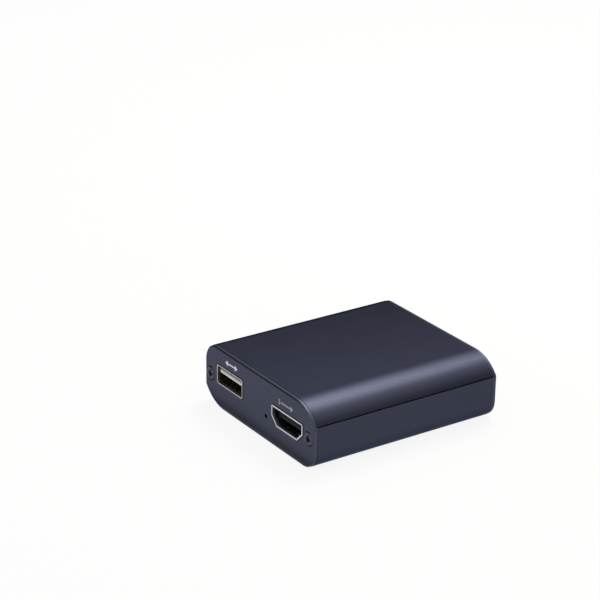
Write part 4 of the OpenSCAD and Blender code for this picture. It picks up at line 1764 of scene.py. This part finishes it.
@dataclass
class Studio:
    """White table, one softbox, dark cards round the set, and the camera."""

    lens: float = 124.298
    sensor: float = 36.0
    sight: Band = (0.01, 20.0)
    eye: Point = (425.693 * MM, -305.887 * MM, 254.103 * MM)
    eye_turn: Point = (67.1193, -0.6953, 56.1429)
    softbox_way: Point = (-0.21, 0.42, 0.86)
    softbox_distance: float = 0.6
    softbox_size: float = 0.28
    softbox_power: float = 1.93
    softbox_tint: Colour = (1.0, 0.952, 0.845)
    fill: float = 0.8
    floor_size: float = 6.0
    floor_white: Colour = (0.8, 0.8, 0.8)
    floor_cloud: float = 20 * MM
    floor_cloud_shade: float = 0.98
    floor_roughness: float = 0.9
    floor_gap: float = 0.02 * MM
    floor_shade: float = 0.12
    mirror_shade: float = 0.2
    cards: tuple[Card, ...] = (
        Card("dark_card_right", (0.325, 0.242, 0.195), (0.7, 0.52, 0.42), (0.32, 0.32)),
        Card("dark_card_left", (-0.305, -0.156, 0.207), (-0.762, -0.389, 0.517), (0.44, 0.38)),
        Card("dark_card_rear", (-0.088, 0.066, 0.03), (-0.8, 0.6, 0.0), (0.4, 0.09)),
        Card("dark_card_low", (-0.01, -0.0323, 0.0004), (0.0, 0.0, 1.0), (0.075, 0.0019)),
    )

    def build(self) -> None:
        """Sets up the view, the camera, the lights and the table."""
        bpy.context.scene.view_settings.view_transform = "Standard"
        self.camera()
        self.softbox()
        self.world()
        self.floor()
        for card in self.cards:
            card.build()

    def camera(self) -> None:
        """Stands the camera at the photograph's viewpoint."""
        data = bpy.data.cameras.new("view_camera")
        data.lens = self.lens
        data.sensor_width = self.sensor
        data.clip_start, data.clip_end = self.sight
        obj = bpy.data.objects.new("view_camera", data)
        bpy.context.scene.collection.objects.link(obj)
        obj.location = self.eye
        obj.rotation_euler = [math.radians(turn) for turn in self.eye_turn]
        bpy.context.scene.camera = obj

    def softbox(self) -> None:
        """Hangs the softbox behind and above the box."""
        data = bpy.data.lights.new("softbox", "AREA")
        data.shape = "SQUARE"
        data.size = self.softbox_size
        data.energy = self.softbox_power
        data.color = self.softbox_tint
        obj = bpy.data.objects.new("softbox", data)
        bpy.context.scene.collection.objects.link(obj)
        way = Vector(self.softbox_way).normalized()
        obj.location = way * self.softbox_distance
        obj.rotation_euler = way.to_track_quat("Z", "Y").to_euler()

    def world(self) -> None:
        """Even white surroundings for the eye and for reflections, and a softer fill."""
        shader = Shader(bpy.data.worlds.new("white_room"))
        bpy.context.scene.world = shader.owner
        seen = shader.ray(Ray.EYE).largest(shader.ray(Ray.GLOSS)).largest(shader.ray(Ray.CLEAR))
        strength = seen + (1.0 - seen) * self.fill
        shader.end(shader.node("ShaderNodeBackground", None, {"Color": rgba(WHITE), "Strength": strength}))

    def floor(self) -> None:
        """Lays the pale table, which is white to the eye and keeps the box's shadow."""
        table = Workpiece.primitive("floor", bpy.ops.mesh.primitive_plane_add, size=self.floor_size)
        table.put((0.0, 0.0, -self.floor_gap))
        shader = Shader.named("table_white")
        cloudy = shaded(self.floor_white, self.floor_cloud_shade)
        tint = shader.mix(shader.noise(self.floor_cloud), self.floor_white, cloudy)
        inputs = {"Base Color": tint, "Roughness": self.floor_roughness}
        paint = shader.node("ShaderNodeBsdfPrincipled", None, inputs)
        glow = shader.node("ShaderNodeEmission", None, {"Color": rgba(WHITE), "Strength": 1.0})
        direct = shader.ray(Ray.EYE).largest(shader.ray(Ray.CLEAR))
        share = direct * (1.0 - self.floor_shade) + shader.ray(Ray.GLOSS) * (1.0 - self.mirror_shade)
        shader.end(shader.node("ShaderNodeMixShader", None, {0: share, 1: paint, 2: glow}))
        table.obj.data.materials.append(shader.owner)


def main() -> None:
    """Builds the sub-assemblies in order."""
    logging.basicConfig(level=logging.INFO, format="%(name)s: %(message)s")
    Studio().build()
    Case().build()
    EndPanels().build()
    PanelScrews().build()
    for port in (DATA_PORT, VIDEO_OUTLET, VIDEO_INLET):
        port.build()
    CircuitBoard().build()
    deselect_all()


if __name__ == "__main__":
    main()
